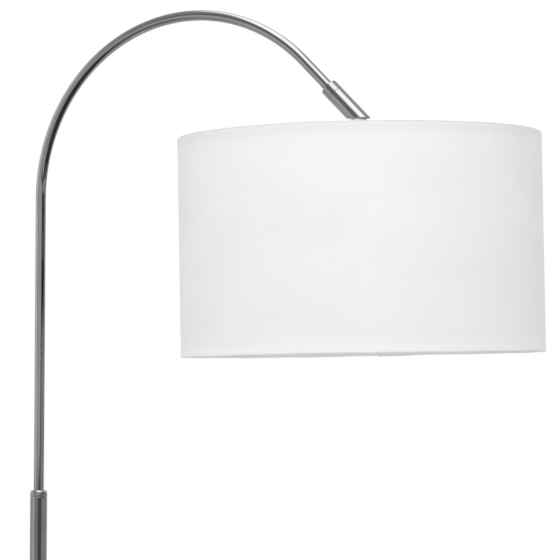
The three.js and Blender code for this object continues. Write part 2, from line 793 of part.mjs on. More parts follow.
// A wire from the hub up to the level of the rim and out under the upper rim wire.
function buildSpiderArm(index) {
  const start = new THREE.Vector3(hubDiameter / 2 + spiderRadius + 0.4, 0, (hubTop + hubLow) / 2);
  const knee = new THREE.Vector3(hubDiameter, 0, spiderLevel);
  const end = new THREE.Vector3(rimCircle + spiderRadius, 0, spiderLevel);
  const before = start.clone().lerp(knee, 0.7);
  const after = knee.clone().setX(knee.x + knee.distanceTo(before));
  const path = new THREE.CurvePath();
  path.add(new THREE.LineCurve3(start, before));
  path.add(new THREE.QuadraticBezierCurve3(before, knee, after));
  path.add(new THREE.LineCurve3(after, end));
  const wire = sweep(path, spiderRadius, 0, wireSides, 16);
  const angle = Math.PI / 2 + (2 * Math.PI * index) / spiderArms;
  place(`spider_arm_${index + 1}`, wire.rotateZ(angle), 'whitePaint', head);
}

// ---- supply leads, held inside the tubes -----------------------------------------------

function buildLowerLead(inletReach) {
  const path = new THREE.CurvePath();
  const along = new THREE.Vector3(-leadBend, 0, inletHeight);
  const corner = new THREE.Vector3(0, 0, inletHeight);
  const up = new THREE.Vector3(0, 0, inletHeight + leadBend);
  const top = new THREE.Vector3(0, 0, thrustTop - thrustThickness + clearance);
  path.add(new THREE.LineCurve3(new THREE.Vector3(-inletReach, 0, inletHeight), along));
  path.add(new THREE.QuadraticBezierCurve3(along, corner, up));
  path.add(new THREE.LineCurve3(up, top));
  place('lower_lead', leadAlong(path, 1), 'lead');
}

// Separate stretches of a lead are swept with steps that suit each stretch, then joined.
function leadAlong(path, overlap) {
  const pieces = path.curves.map((curve) => {
    const straight = curve.isLineCurve3 === true;
    const line = straight ? lengthened(curve, overlap) : curve;
    return sweep(line, leadRadius, 0, wireSides, straight ? 1 : 5);
  });
  return join(...pieces);
}

// A straight stretch runs a little way into the bend next to it, so that they join.
function lengthened(line, overlap) {
  const direction = line.v2.clone().sub(line.v1).normalize();
  const bendAtStart = line.v1.x === 0;
  const v1 = bendAtStart ? line.v1.clone().addScaledVector(direction, -overlap) : line.v1;
  const v2 = bendAtStart ? line.v2 : line.v2.clone().addScaledVector(direction, overlap);
  return new THREE.LineCurve3(v1, v2);
}

function buildUpperLead() {
  const start = thrustTop - clearance - bendStart;
  const line = new ArmLine(start, armEnd + 3);
  place('upper_lead', sweep(line, leadRadius, 0, wireSides, line.steps), 'lead');
}

// The bared wires go on from the lead's end, round the coupler's corner to the tilt axis.
function buildCouplerWires() {
  const start = armPoint(armEnd + 3 + clearance);
  const middle = armPoint((armEnd + mouth + couplerLength) / 2);
  const x = footPoint.x;
  const line = new THREE.CatmullRomCurve3([
    start, middle, new THREE.Vector3(x - 3, 0, footPoint.z + plugHeight + 4),
    new THREE.Vector3(x, 0, footPoint.z + plugHeight - 2),
    new THREE.Vector3(x, 0, footPoint.z - forkPlate), new THREE.Vector3(x, 0, pivotPoint.z + 0.6),
  ]);
  place('coupler_wires', sweep(line, wireRadius, 0, wireSides, 18), 'lead');
}

function buildHolderWires() {
  const switchTop = switchAxis + 5.5 + clearance;
  place('holder_wires', rod(wireRadius, switchTop, -0.6, wireSides), 'lead', head);
}

// ---- assembly ------------------------------------------------------------------------

buildBasePad();
buildBaseWeight();
buildBaseCover();
const inletReach = buildCordBush();
buildBaseFasteners();
buildPoleFoot();
buildPole();
buildPoleInserts();
buildCollar();
buildSwivelBush();
buildThrustSeat();
buildArmTube();
buildArmFoot();
buildStopScrew();
buildCouplerRing();
buildCoupler();
buildCouplerPlug();
buildNeckNipple();
buildFork();
buildPivotScrew('pivot_screw_left', 1);
buildPivotScrew('pivot_screw_right', -1);
buildTongue();
buildHolderCap();
buildHolderBody();
buildHolderContacts();
buildShadeClamp();
buildSwitch();
buildBulb();
buildShadeFabric();
buildShadeLiner();
buildRimWire('rim_wire_top', topWireLevel);
buildRimWire('rim_wire_bottom', bottomWireLevel);
buildSpiderHub();
for (let i = 0; i < spiderArms; i += 1) buildSpiderArm(i);
buildLowerLead(inletReach);
buildUpperLead();
buildCouplerWires();
buildHolderWires();

export default lamp;
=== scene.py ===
import json
import math

import bmesh
import bpy
from mathutils import Matrix, Vector


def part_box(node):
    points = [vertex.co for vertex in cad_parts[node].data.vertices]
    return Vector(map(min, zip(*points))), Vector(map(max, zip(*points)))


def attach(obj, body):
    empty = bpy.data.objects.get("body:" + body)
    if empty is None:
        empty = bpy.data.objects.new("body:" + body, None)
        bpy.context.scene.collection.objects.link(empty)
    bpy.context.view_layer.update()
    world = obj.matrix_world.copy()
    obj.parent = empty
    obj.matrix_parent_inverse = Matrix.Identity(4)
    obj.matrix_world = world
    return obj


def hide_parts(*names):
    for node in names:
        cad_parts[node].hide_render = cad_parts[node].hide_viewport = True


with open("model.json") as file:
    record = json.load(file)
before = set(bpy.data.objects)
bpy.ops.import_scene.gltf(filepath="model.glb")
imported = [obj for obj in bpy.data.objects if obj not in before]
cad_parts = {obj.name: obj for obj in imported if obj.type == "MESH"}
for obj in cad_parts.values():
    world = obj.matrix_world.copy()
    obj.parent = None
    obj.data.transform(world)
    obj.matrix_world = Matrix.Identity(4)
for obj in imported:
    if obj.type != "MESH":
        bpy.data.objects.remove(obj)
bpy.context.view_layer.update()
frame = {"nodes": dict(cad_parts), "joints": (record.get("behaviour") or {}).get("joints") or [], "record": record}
scene = bpy.context.scene
nodes = frame["nodes"]
mm = 0.001
fullTurn = 2 * math.pi
print("frame loaded:", len(nodes), "nodes")


class Flow:
    # wraps an output socket, so that shader and geometry maths reads as plain sums
    def __init__(self, board, socket):
        self.board = board
        self.socket = socket

    def work(self, operation, first, second=0.0, third=0.0):
        return self.board.add("ShaderNodeMath", {"operation": operation}, {0: first, 1: second, 2: third})

    def __add__(self, other):
        return self.work("ADD", self, other)

    def __radd__(self, other):
        return self.work("ADD", other, self)

    def __sub__(self, other):
        return self.work("SUBTRACT", self, other)

    def __rsub__(self, other):
        return self.work("SUBTRACT", other, self)

    def __mul__(self, other):
        return self.work("MULTIPLY", self, other)

    def __rmul__(self, other):
        return self.work("MULTIPLY", other, self)

    def __truediv__(self, other):
        return self.work("DIVIDE", self, other)

    def __rtruediv__(self, other):
        return self.work("DIVIDE", other, self)

    def sin(self):
        return self.work("SINE", self)

    def cos(self):
        return self.work("COSINE", self)

    def atMost(self, other):
        return self.work("MINIMUM", self, other)

    def atLeast(self, other):
        return self.work("MAXIMUM", self, other)

    def fade(self, start, end):
        # 0 before start and 1 past end, eased between them
        return self.board.add("ShaderNodeMapRange", {"interpolation_type": "SMOOTHSTEP", "clamp": True},
                              {0: self, 1: start, 2: end, 3: 0.0, 4: 1.0})


class Board:
    # a node tree that nodes are laid on
    def __init__(self, tree):
        self.tree = tree

    def add(self, kind, settings=None, inputs=None, output=0):
        node = self.tree.nodes.new(kind)
        for name, value in (settings or {}).items():
            setattr(node, name, value)
        for key, value in (inputs or {}).items():
            if isinstance(value, Flow):
                self.tree.links.new(value.socket, node.inputs[key])
            else:
                node.inputs[key].default_value = value
        return Flow(self, node.outputs[output])

    def also(self, flow, output):
        # another output of the node that gave flow
        return Flow(self, flow.socket.node.outputs[output])

    def blend(self, share, first, second):
        # a colour between two colours
        first = first if isinstance(first, Flow) else (*first, 1.0)
        second = second if isinstance(second, Flow) else (*second, 1.0)
        return self.add("ShaderNodeMix", {"data_type": "RGBA"}, {0: share, 6: first, 7: second}, 2)

    def stretch(self, vector, scale, turn=(0.0, 0.0, 0.0), shift=(0.0, 0.0, 0.0)):
        return self.add("ShaderNodeMapping", None,
                        {"Vector": vector, "Location": shift, "Rotation": turn, "Scale": scale})

    def noise(self, vector, scale, detail=3.0, rough=0.5):
        return self.add("ShaderNodeTexNoise", None,
                        {"Vector": vector, "Scale": scale, "Detail": detail, "Roughness": rough})

    def bump(self, height, distance, strength=1.0, normal=None):
        inputs = {"Height": height, "Distance": distance, "Strength": strength}
        if normal is not None:
            inputs["Normal"] = normal
        return self.add("ShaderNodeBump", None, inputs)


finishes = {}


def newFinish(name, build, **fixed):
    # build gives the flows for colour, roughness and normal
    material = bpy.data.materials.new(name)
    material.use_nodes = True
    board = Board(material.node_tree)
    shader = material.node_tree.nodes["Principled BSDF"]
    for socket, value in fixed.items():
        shader.inputs[socket.replace("_", " ")].default_value = value
    place = board.add("ShaderNodeTexCoord", None, None, "Object")
    for socket, flow in zip(("Base Color", "Roughness", "Normal"), build(board, place)):
        material.node_tree.links.new(flow.socket, shader.inputs[socket])
    finishes[name] = material


nickelLook = {"bright": (0.66, 0.66, 0.665), "dull": (0.60, 0.60, 0.595), "gloss": 0.03, "haze": 0.035}


def nickel(board, place):
    cloud = board.noise(place, 22.0, 4.0, 0.55)
    fine = board.noise(board.stretch(place, (900.0, 900.0, 60.0)), 1.0, 3.0, 0.6)
    smear = board.noise(board.stretch(place, (30.0, 30.0, 9.0)), 1.0, 5.0, 0.7).fade(0.52, 0.78)
    rough = nickelLook["gloss"] + nickelLook["haze"] * smear + 0.012 * fine
    ripple = board.noise(board.stretch(place, (14.0, 14.0, 5.0)), 1.0, 2.0, 0.5)
    soft = board.bump(ripple, 0.0004, 0.12)
    return (
        board.blend(cloud.fade(0.35, 0.75), nickelLook["bright"], nickelLook["dull"]),
        rough,
        board.bump(fine, 0.00001, 0.15, soft),
    )


newFinish("polished nickel", nickel, Metallic=1.0)

fabricLook = {
    "cloth": (0.895, 0.895, 0.890),
    # a darker cloth tone: random variation, and also the painted shadow line under the hem's step
    "darkClothAndShade": (0.858, 0.858, 0.852),
    "hemCloth": (0.925, 0.925, 0.92),
    "topBand": (0.80, 0.815, 0.795),
    "rimShadeLine": (0.47, 0.47, 0.46),
    "hemWidth": 0.0125,
    "topWidth": 0.0075,
    "tall": 0.3048,
    "thread": 0.00062,
}


def shadeCloth(board, place):
    look = fabricLook
    flat = board.add("ShaderNodeTexCoord", None, None, "UV")
    along = board.add("ShaderNodeSeparateXYZ", None, {0: flat})
    up = board.also(along, 1)
    weft = (up * (fullTurn / look["thread"])).sin()
    warp = (along * (fullTurn / look["thread"])).sin()
    weave = weft * warp * 0.5 + 0.5
    threads = board.noise(board.stretch(flat, (40.0, 1700.0, 1.0)), 1.0, 2.0, 0.6)
    standing = board.noise(board.stretch(flat, (1700.0, 40.0, 1.0)), 1.0, 2.0, 0.6)
    slub = threads * 0.55 + standing * 0.45
    cloud = board.noise(board.stretch(flat, (9.0, 14.0, 1.0)), 1.0, 3.0, 0.55)
    tone = board.blend((cloud * 0.55 + slub * 0.45).fade(0.30, 0.72), look["cloth"], look["darkClothAndShade"])
    waver = (board.noise(board.stretch(flat, (26.0, 1.0, 1.0)), 1.0, 3.0, 0.6) - 0.5) * 0.0012
    level = up + waver
    hem = 1.0 - level.fade(look["hemWidth"] - 0.0006, look["hemWidth"] + 0.0006)
    tone = board.blend(hem * 0.8, tone, look["hemCloth"])
    # painted shadow: a darker line just under the top edge of the bottom hem
    hemStepShadow = hem * level.fade(look["hemWidth"] - 0.0022, look["hemWidth"] - 0.0004)
    tone = board.blend(hemStepShadow * 0.22, tone, look["darkClothAndShade"])
    # painted shade: a dark line along the bottom rim, where the rolled edge turns under
    edge = 1.0 - level.fade(0.0008, 0.0027)
    tone = board.blend(edge * 0.25, tone, look["rimShadeLine"])
    # painted shade: darker towards the top rim, with a darker band over the top fold
    tone = board.blend(up.fade(look["tall"] - 0.030, look["tall"] + 0.004) * 0.5, tone, look["topBand"])
    bandLow = look["tall"] - look["topWidth"]
    tone = board.blend(level.fade(bandLow - 0.0012, bandLow + 0.0012) * 0.25, tone, look["topBand"])
    # painted shade: a dark line along the top rim
    topRimShadeLine = level.fade(look["tall"] - 0.0016, look["tall"] + 0.0006)
    tone = board.blend(topRimShadeLine * 0.35, tone, look["rimShadeLine"])
    height = weave * 0.6 + slub * 0.8
    return tone, 0.80 + 0.12 * slub, board.bump(height, 0.00009, 0.45)


newFinish("white shade cloth", shadeCloth, Sheen_Weight=0.12, Sheen_Roughness=0.5, Specular_IOR_Level=0.25)


def liner(board, place):
    grain = board.noise(place, 260.0, 4.0, 0.6)
    cloud = board.noise(place, 11.0, 3.0, 0.5)
    return (
        board.blend(cloud.fade(0.3, 0.7), (0.90, 0.90, 0.89), (0.86, 0.86, 0.845)),
        0.34 + 0.12 * grain,
        board.bump(grain, 0.00004, 0.3),
    )


newFinish("white liner sheet", liner)


def powderCoat(board, place):
    peel = board.noise(place, 900.0, 3.0, 0.6)
    cloud = board.noise(place, 45.0, 3.0, 0.6)
    return (
        board.blend(cloud.fade(0.35, 0.75), (0.86, 0.86, 0.855), (0.80, 0.80, 0.79)),
        0.30 + 0.16 * peel,
        board.bump(peel, 0.00006, 0.35),
    )


newFinish("white coated wire", powderCoat, Coat_Weight=0.25, Coat_Roughness=0.2)


def whiteMoulding(board, place):
    grain = board.noise(place, 1500.0, 2.0, 0.5)
    cloud = board.noise(place, 60.0, 3.0, 0.5)
    flowLine = board.noise(board.stretch(place, (20.0, 20.0, 130.0)), 1.0, 2.0, 0.5)
    return (
        board.blend(cloud.fade(0.3, 0.7), (0.87, 0.87, 0.855), (0.83, 0.83, 0.81)),
        0.26 + 0.10 * grain + 0.05 * flowLine,
        board.bump(grain, 0.00003, 0.3),
    )


newFinish("white moulding", whiteMoulding)


def castIron(board, place):
    sand = board.noise(place, 420.0, 6.0, 0.7)
    cloud = board.noise(place, 30.0, 4.0, 0.6)
    rust = board.noise(place, 75.0, 5.0, 0.7).fade(0.60, 0.72)
    skin = board.blend(cloud, (0.055, 0.055, 0.06), (0.10, 0.10, 0.10))
    return (
        board.blend(rust * 0.6, skin, (0.16, 0.075, 0.04)),
        0.55 + 0.3 * sand,
        board.bump(sand, 0.0006, 0.6),
    )


newFinish("cast iron", castIron, Metallic=0.7)


def zincSteel(board, place):
    lines = board.noise(board.stretch(place, (60.0, 60.0, 1800.0)), 1.0, 3.0, 0.6)
    spangle = board.add("ShaderNodeTexVoronoi", None, {"Vector": place, "Scale": 450.0}, "Color")
    cloud = board.noise(place, 120.0, 3.0, 0.6)
    tone = board.blend(cloud.fade(0.3, 0.7), (0.55, 0.56, 0.57), (0.46, 0.47, 0.46))
    return board.blend(0.08, tone, spangle), 0.26 + 0.2 * lines, board.bump(lines, 0.00003, 0.4)


newFinish("zinc plated steel", zincSteel, Metallic=1.0)


def felt(board, place):
    fibre = board.noise(board.stretch(place, (1500.0, 700.0, 900.0)), 1.0, 6.0, 0.75)
    tuft = board.noise(place, 240.0, 4.0, 0.7)
    return (
        board.blend(fibre, (0.022, 0.023, 0.024), (0.085, 0.087, 0.09)),
        0.85 + 0.12 * tuft,
        board.bump(fibre + tuft, 0.0004, 0.8),
    )


newFinish("grey felt", felt, Sheen_Weight=0.5, Sheen_Roughness=0.6, Specular_IOR_Level=0.1)


def rubber(board, place):
    grain = board.noise(place, 1300.0, 4.0, 0.6)
    bloom = board.noise(place, 90.0, 4.0, 0.6).fade(0.45, 0.8)
    return (
        board.blend(bloom, (0.018, 0.018, 0.019), (0.05, 0.05, 0.05)),
        0.52 + 0.2 * bloom,
        board.bump(grain, 0.00005, 0.5),
    )


newFinish("black rubber", rubber)


def leadCover(board, place):
    grain = board.noise(place, 1100.0, 3.0, 0.5)
    scuff = board.noise(board.stretch(place, (70.0, 70.0, 12.0)), 1.0, 4.0, 0.6)
    return (
        board.blend(scuff.fade(0.4, 0.8), (0.74, 0.74, 0.72), (0.64, 0.64, 0.61)),
        0.36 + 0.14 * scuff,
        board.bump(grain, 0.00004, 0.4),
    )


newFinish("lead cover", leadCover)


def acetal(board, place):
    turning = board.noise(board.stretch(place, (40.0, 40.0, 2200.0)), 1.0, 2.0, 0.5)
    cloud = board.noise(place, 70.0, 3.0, 0.5)
    return (
        board.blend(cloud, (0.80, 0.79, 0.75), (0.74, 0.73, 0.69)),
        0.32 + 0.12 * turning,
        board.bump(turning, 0.00003, 0.4),
    )


newFinish("acetal", acetal, Subsurface_Weight=0.08, Subsurface_Scale=0.002)


def ceramic(board, place):
    speck = board.noise(place, 700.0, 5.0, 0.7)
    cloud = board.noise(place, 50.0, 3.0, 0.5)
    dots = speck.fade(0.66, 0.74)
    tone = board.blend(cloud, (0.80, 0.78, 0.73), (0.74, 0.72, 0.66))
    return (
        board.blend(dots * 0.5, tone, (0.45, 0.38, 0.30)),
        0.42 + 0.2 * speck,
        board.bump(speck, 0.00006, 0.4),
    )


newFinish("unglazed ceramic", ceramic)


def brass(board, place):
    stamp = board.noise(board.stretch(place, (900.0, 900.0, 90.0)), 1.0, 3.0, 0.6)
    stain = board.noise(place, 160.0, 4.0, 0.65).fade(0.5, 0.75)
    return (
        board.blend(stain, (0.78, 0.58, 0.28), (0.50, 0.33, 0.14)),
        0.22 + 0.14 * stamp + 0.12 * stain,
        board.bump(stamp, 0.00003, 0.4),
    )


newFinish("brass", brass, Metallic=1.0)


def aluminium(board, place):
    drawn = board.noise(board.stretch(place, (1100.0, 1100.0, 50.0)), 1.0, 3.0, 0.6)
    cloud = board.noise(place, 110.0, 3.0, 0.6)
    return (
        board.blend(cloud, (0.78, 0.78, 0.79), (0.66, 0.66, 0.67)),
        0.24 + 0.16 * drawn,
        board.bump(drawn, 0.00003, 0.4),
    )


newFinish("aluminium", aluminium, Metallic=1.0)


def opalGlass(board, place):
    cloud = board.noise(place, 28.0, 3.0, 0.5)
    powder = board.noise(place, 900.0, 3.0, 0.6)
    return (
        board.blend(cloud.fade(0.3, 0.7), (0.88, 0.88, 0.87), (0.84, 0.84, 0.83)),
        0.16 + 0.06 * powder,
        board.bump(cloud, 0.0004, 0.1),
    )


newFinish("opal glass", opalGlass, Coat_Weight=0.6, Coat_Roughness=0.05)

slotFinish = {
    "polished_metal": "polished nickel",
    "cast_iron": "cast iron",
    "zinc_steel": "zinc plated steel",
    "felt": "grey felt",
    "rubber": "black rubber",
    "lead_cover": "lead cover",
    "acetal": "acetal",
    "white_metal": "white coated wire",
    "white_plastic": "white moulding",
    "ceramic": "unglazed ceramic",
    "brass": "brass",
    "aluminium": "aluminium",
    "bulb_glass": "opal glass",
    "shade_fabric": "white shade cloth",
    "shade_liner": "white liner sheet",
}
slotOf = {part["node"]: part["material_slot"] for part in frame["record"]["subparts"]}
bodies = frame["record"]["behaviour"]["bodies"]
bodyOf = {node: body for body, members in bodies.items() for node in members}
print("finishes made:", len(finishes))


def rounded(corners, steps=5, hold=0.5):
    # a closed outline of (radius, height, corner radius), each corner turned on an arc
    points = []
    for i, corner in enumerate(corners):
        here = Vector(corner[:2])
        size = corner[2] if len(corner) > 2 else 0
        if size <= 0:
            points.append(tuple(here))
            continue
        back = Vector(corners[i - 1][:2]) - here
        on = Vector(corners[(i + 1) % len(corners)][:2]) - here
        half = back.angle(on) / 2
        room = 0.48 * min(back.length, on.length)
        reach = min(size / math.tan(half), room)
        size = reach * math.tan(half)
        middle = here + (back.normalized() + on.normalized()).normalized() * size / math.sin(half)
        first = here + back.normalized() * reach - middle
        last = here + on.normalized() * reach - middle
        sweep = math.pi - 2 * half
        if first.x * last.y - first.y * last.x < 0:
            sweep = -sweep
        if back.length - reach > 4 * hold:
            points.append(tuple(middle + first + back.normalized() * hold))
        for step in range(steps + 1):
            angle = sweep * step / steps
            points.append((middle.x + first.x * math.cos(angle) - first.y * math.sin(angle),
                           middle.y + first.x * math.sin(angle) + first.y * math.cos(angle)))
        if on.length - reach > 4 * hold:
            points.append(tuple(middle + last + on.normalized() * hold))
    return points


def arc(centre, radius, start, end, steps):
    # points on an arc, its angles in degrees from the outward direction
    points = []
    for step in range(steps + 1):
        angle = math.radians(start + (end - start) * step / steps)
        points.append((centre[0] + radius * math.cos(angle), centre[1] + radius * math.sin(angle)))
    return points


def meshFrom(work, name, smoothUnder=38.0, place=None):
    bmesh.ops.remove_doubles(work, verts=work.verts, dist=1e-6)
    bmesh.ops.recalc_face_normals(work, faces=work.faces)
    mesh = bpy.data.meshes.new(name)
    work.to_mesh(mesh)
    work.free()
    mesh.shade_smooth()
    mesh.set_sharp_from_angle(angle=math.radians(smoothUnder))
    if place is not None:
        mesh.transform(place)
    return mesh


def bridge(work, rings):
    for here, following in zip(rings, rings[1:]):
        for j in range(len(here)):
            k = (j + 1) % len(here)
            work.faces.new((here[j], following[j], following[k], here[k]))


def turnInto(work, outline, sides):
    # turns a closed outline about the Z axis; the outline may change with the angle
    rings = []
    for i in range(sides):
        phi = fullTurn * i / sides
        points = outline(phi) if callable(outline) else outline
        out = Vector((math.cos(phi), math.sin(phi), 0))
        rings.append([work.verts.new((out * radius + Vector((0, 0, height))) * mm)
                      for radius, height in points])
    bridge(work, rings + rings[:1])


def sweepInto(work, points, radii, sides, side=Vector((0, 1, 0))):
    # a round bar along points, closed at both ends
    rings = []
    for i, point in enumerate(points):
        ahead = points[min(i + 1, len(points) - 1)] - points[max(i - 1, 0)]
        ahead.normalize()
        across = ahead.cross(side).normalized()
        third = across.cross(ahead).normalized()
        ring = []
        for j in range(sides):
            angle = fullTurn * j / sides
            offset = across * math.cos(angle) + third * math.sin(angle)
            ring.append(work.verts.new((point + offset * radii[i]) * mm))
        rings.append(ring)
    bridge(work, rings)
    work.faces.new(rings[0])
    work.faces.new(rings[-1])


def smoothBar(points, radius, steps=5):
    # end points added so that the bar's ends are round
    first = (points[0] - points[1]).normalized()
    last = (points[-1] - points[-2]).normalized()
    line = []
    radii = []
    for step in range(steps):
        angle = math.pi / 2 * (1 - step / steps)
        line.append(points[0] + first * radius * (math.sin(angle) - 1) * 0.98)
        radii.append(max(radius * math.cos(angle), 0.02))
    for point in points[1:-1]:
        line.append(point)
        radii.append(radius)
    for step in range(1, steps + 1):
        angle = math.pi / 2 * step / steps
        line.append(points[-1] + last * radius * (math.sin(angle) - 1) * 0.98)
        radii.append(max(radius * math.cos(angle), 0.02))
    return line, radii


def boxInto(work, low, high, edge):
    made = bmesh.ops.create_cube(work, size=1.0)["verts"]
    low = Vector(low)
    high = Vector(high)
    for vert in made:
        vert.co = Vector([(low[i] + high[i]) / 2 + vert.co[i] * (high[i] - low[i]) for i in range(3)]) * mm
    edges = list({e for v in made for e in v.link_edges})
    bmesh.ops.bevel(work, geom=edges, offset=edge * mm, segments=3, affect="EDGES", profile=0.5)


def addPiece(node, mesh, modifiers=()):
    # the finished piece that stands for a CAD node, named after it
    first, *rest = node.split("_")
    piece = bpy.data.objects.new(first + "".join(word.capitalize() for word in rest), mesh)
    scene.collection.objects.link(piece)
    mesh.materials.clear()
    mesh.materials.append(finishes[slotFinish[slotOf[node]]])
    for kind, settings in modifiers:
        modifier = piece.modifiers.new(kind.lower(), kind)
        for key, value in settings.items():
            setattr(modifier, key, value)
    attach(piece, bodyOf[node])
    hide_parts(node)
    return piece


def addTurned(node, outline, sides=96, place=None, smoothUnder=38.0):
    work = bmesh.new()
    turnInto(work, outline, sides)
    return addPiece(node, meshFrom(work, node, smoothUnder, place))


def emptyTree(name):
    tree = bpy.data.node_groups.new(name, "GeometryNodeTree")
    tree.interface.new_socket("Geometry", in_out="INPUT", socket_type="NodeSocketGeometry")
    tree.interface.new_socket("Geometry", in_out="OUTPUT", socket_type="NodeSocketGeometry")
    return tree


def namedInputs(tree, values):
    # float inputs with names, and a lookup from name to flow
    for name, value in values.items():
        socket = tree.interface.new_socket(name, in_out="INPUT", socket_type="NodeSocketFloat")
        socket.default_value = value
    entry = tree.nodes.new("NodeGroupInput")
    board = Board(tree)
    return board, {name: Flow(board, entry.outputs[name]) for name in values}


def grow(name, tree, values, material):
    # runs a geometry tree once and gives its result as a plain mesh
    mesh = bpy.data.meshes.new(name + " start")
    seed = bpy.data.objects.new(name + " start", mesh)
    scene.collection.objects.link(seed)
    mesh.materials.append(material)
    modifier = seed.modifiers.new("rule", "NODES")
    modifier.node_group = tree
    for item in tree.interface.items_tree:
        if item.item_type == "SOCKET" and item.in_out == "INPUT" and item.name in values:
            modifier[item.identifier] = float(values[item.name])
    graph = bpy.context.evaluated_depsgraph_get()
    graph.update()
    result = bpy.data.meshes.new_from_object(seed.evaluated_get(graph))
    bpy.data.objects.remove(seed)
    bpy.data.meshes.remove(mesh)
    result.name = name
    return result


def endTree(tree, board, flow, material):
    real = board.add("GeometryNodeRealizeInstances", None, {0: flow})
    painted = board.add("GeometryNodeSetMaterial", None, {0: real, "Material": material})
    out = tree.nodes.new("NodeGroupOutput")
    tree.links.new(painted.socket, out.inputs[0])


def span(node):
    # a CAD node's lowest and highest corner, in millimetres
    low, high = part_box(node)
    return low / mm, high / mm


coverLow, coverHigh = span("base_cover")
base = {
    "radius": coverHigh.y,
    "top": coverHigh.z,
    "rim": coverLow.z,
    "wall": 1.0,
    "flat": 45.0,
    "drop": 3.5,
    "edge": 11.0,
    "edgeShift": 0.97,    # keeps the widest ring on the cover's radius
    "hole": 6.65,
    "padEdge": 0.8,
}


def coverOutline(inset):
    # flat middle, a slow fall to the side, then the rounded edge
    end = base["radius"] - base["edge"] + base["edgeShift"]
    slope = 2 * base["drop"] / (end - base["flat"])
    tilt = math.degrees(math.atan(slope))
    points = [(base["hole"], base["top"] - inset)]
    for step in range(15):
        share = step / 14
        points.append((base["flat"] + (end - base["flat"]) * share,
                       base["top"] - inset - base["drop"] * share * share))
    lean = math.radians(tilt)
    centre = (end - base["edge"] * math.sin(lean),
              base["top"] - base["drop"] - base["edge"] * math.cos(lean))
    points += arc(centre, base["edge"] - inset, 90 - tilt, 0, 12)[1:]
    return points


def makeBase():
    outer = coverOutline(0)
    inner = coverOutline(base["wall"])
    side = outer[-1][0]
    lip = [(side, base["rim"] + 6), (side, base["rim"] + 0.35), (side - 0.35, base["rim"]),
           (side - base["wall"] + 0.2, base["rim"]), (side - base["wall"], base["rim"] + 0.4)]
    addTurned("base_cover", outer + lip + inner[::-1], 160)
    low, high = span("base_pad")
    edge = base["padEdge"]
    addTurned("base_pad", rounded([(0, 0), (high.x, 0, edge), (high.x, high.z, edge), (0, high.z)]), 128)


bush = {"flange": 5.3, "body": 4.1, "bore": 2.8, "flangeThick": 1.6, "grip": 0.5}


def makeCordBush():
    low, high = span("cord_bush")
    outside = -low.x
    inside = -high.x
    level = (low.z + high.z) / 2
    flange = bush["flange"]
    thick = bush["flangeThick"]
    outline = rounded([
        (bush["bore"], inside, 0.3), (flange, inside, 0.5), (flange, inside + thick, 0.5),
        (bush["body"], inside + thick, 0.1), (bush["body"], outside - thick, 0.1),
        (flange, outside - thick, 0.3), (flange - 0.5, outside, 0.7), (bush["bore"], outside, 0.4),
    ], 4, 0.3)
    place = Matrix.Translation((0, 0, level * mm)) @ Matrix.Rotation(-math.pi / 2, 4, "Y")
    addTurned("cord_bush", outline, 48, place)


makeBase()
makeCordBush()
print("base made")


pole = {
    "radius": span("pole_lower")[1].x,
    "wall": 1.2,
    "edge": 0.45,
    "footFillet": 8.5,
    "footWall": 15.5,
    "footFloor": 4.7,
    "socket": 13.0,
}


def makePole():
    inner = pole["radius"] - pole["wall"]
    for node in ("pole_lower", "pole_upper"):
        low, high = span(node)
        addTurned(node, rounded([
            (pole["radius"], low.z, pole["edge"]), (pole["radius"], high.z, pole["edge"]),
            (inner, high.z, 0.2), (inner, low.z, 0.2),
        ], 4, 1.0))


def makePoleFoot():
    low, high = span("pole_foot")
    seat = low.z
    top = high.z
    flange = high.y
    size = pole["footFillet"]
    wall = pole["footWall"]
    floor = pole["footFloor"]
    curve = arc((flange, seat + 2 + size), size, 268, 180, 12)
    outline = [
        (base["hole"], seat), (flange - 0.3, seat), (flange, seat + 0.3), (flange, seat + 1.5),
        (flange - 0.25, seat + 1.9), *curve, (wall, top - 2.2), (wall - 0.1, top - 1.2),
        (wall - 0.5, top - 0.5), (wall - 1.1, top - 0.1), (wall - 1.6, top),
        (pole["socket"] + 0.3, top), (pole["socket"], top - 0.3), (pole["socket"], seat + floor),
        (base["hole"], seat + floor),
    ]
    addTurned("pole_foot", outline)


makePole()
makePoleFoot()
print("pole made")


collar = {
    "slide": 7.9,
    "bore": 9.7,
    "skirt": 11.2,
    "lip": 2.5,
    "shoulder": 4.4,
    "seatEdge": 0.45,
    "smallEdge": 0.3,
    "ringEdge": 0.7,
}


def makeCollar():
    low, high = span("collar_ring")
    inner = collar["skirt"] + 0.3
    addTurned("collar_ring", rounded([
        (high.x, low.z, collar["ringEdge"]), (high.x, high.z, collar["ringEdge"]),
        (inner, high.z, 0.2), (inner, low.z, 0.2),
    ], 6, 0.25))
    seat = high.z + 0.3
    low, high = span("collar")
    top = high.z
    radius = high.x
    size = collar["shoulder"]
    edge = collar["seatEdge"]
    small = collar["smallEdge"]
    body = [
        (collar["slide"], top - small), (collar["slide"] + small, top),
        *arc((radius - size, top - size), size, 90, 0, 14),
        *arc((radius - edge, seat + edge), edge, 0, -90, 4),
        (collar["skirt"], seat), (collar["skirt"], low.z + small), (collar["skirt"] - small, low.z),
        (collar["bore"] + small, low.z), (collar["bore"], low.z + small),
        (collar["bore"], top - collar["lip"]), (collar["slide"], top - collar["lip"]),
    ]
    addTurned("collar", body)


makeCollar()
print("collar made")


arm = {
    "radius": span("arm_tube")[1].y,
    "wall": 1.2,
    "bottom": span("arm_tube")[0].z,
    "bendStart": 1565.3,
    "bendRadius": 258.0,
    "bendAngle": 134.2,
    "endLength": 54.5,
    "inCoupler": 34.0,
    "rings": 300,
    "sides": 48,
}
armTurn = math.radians(arm["bendAngle"])


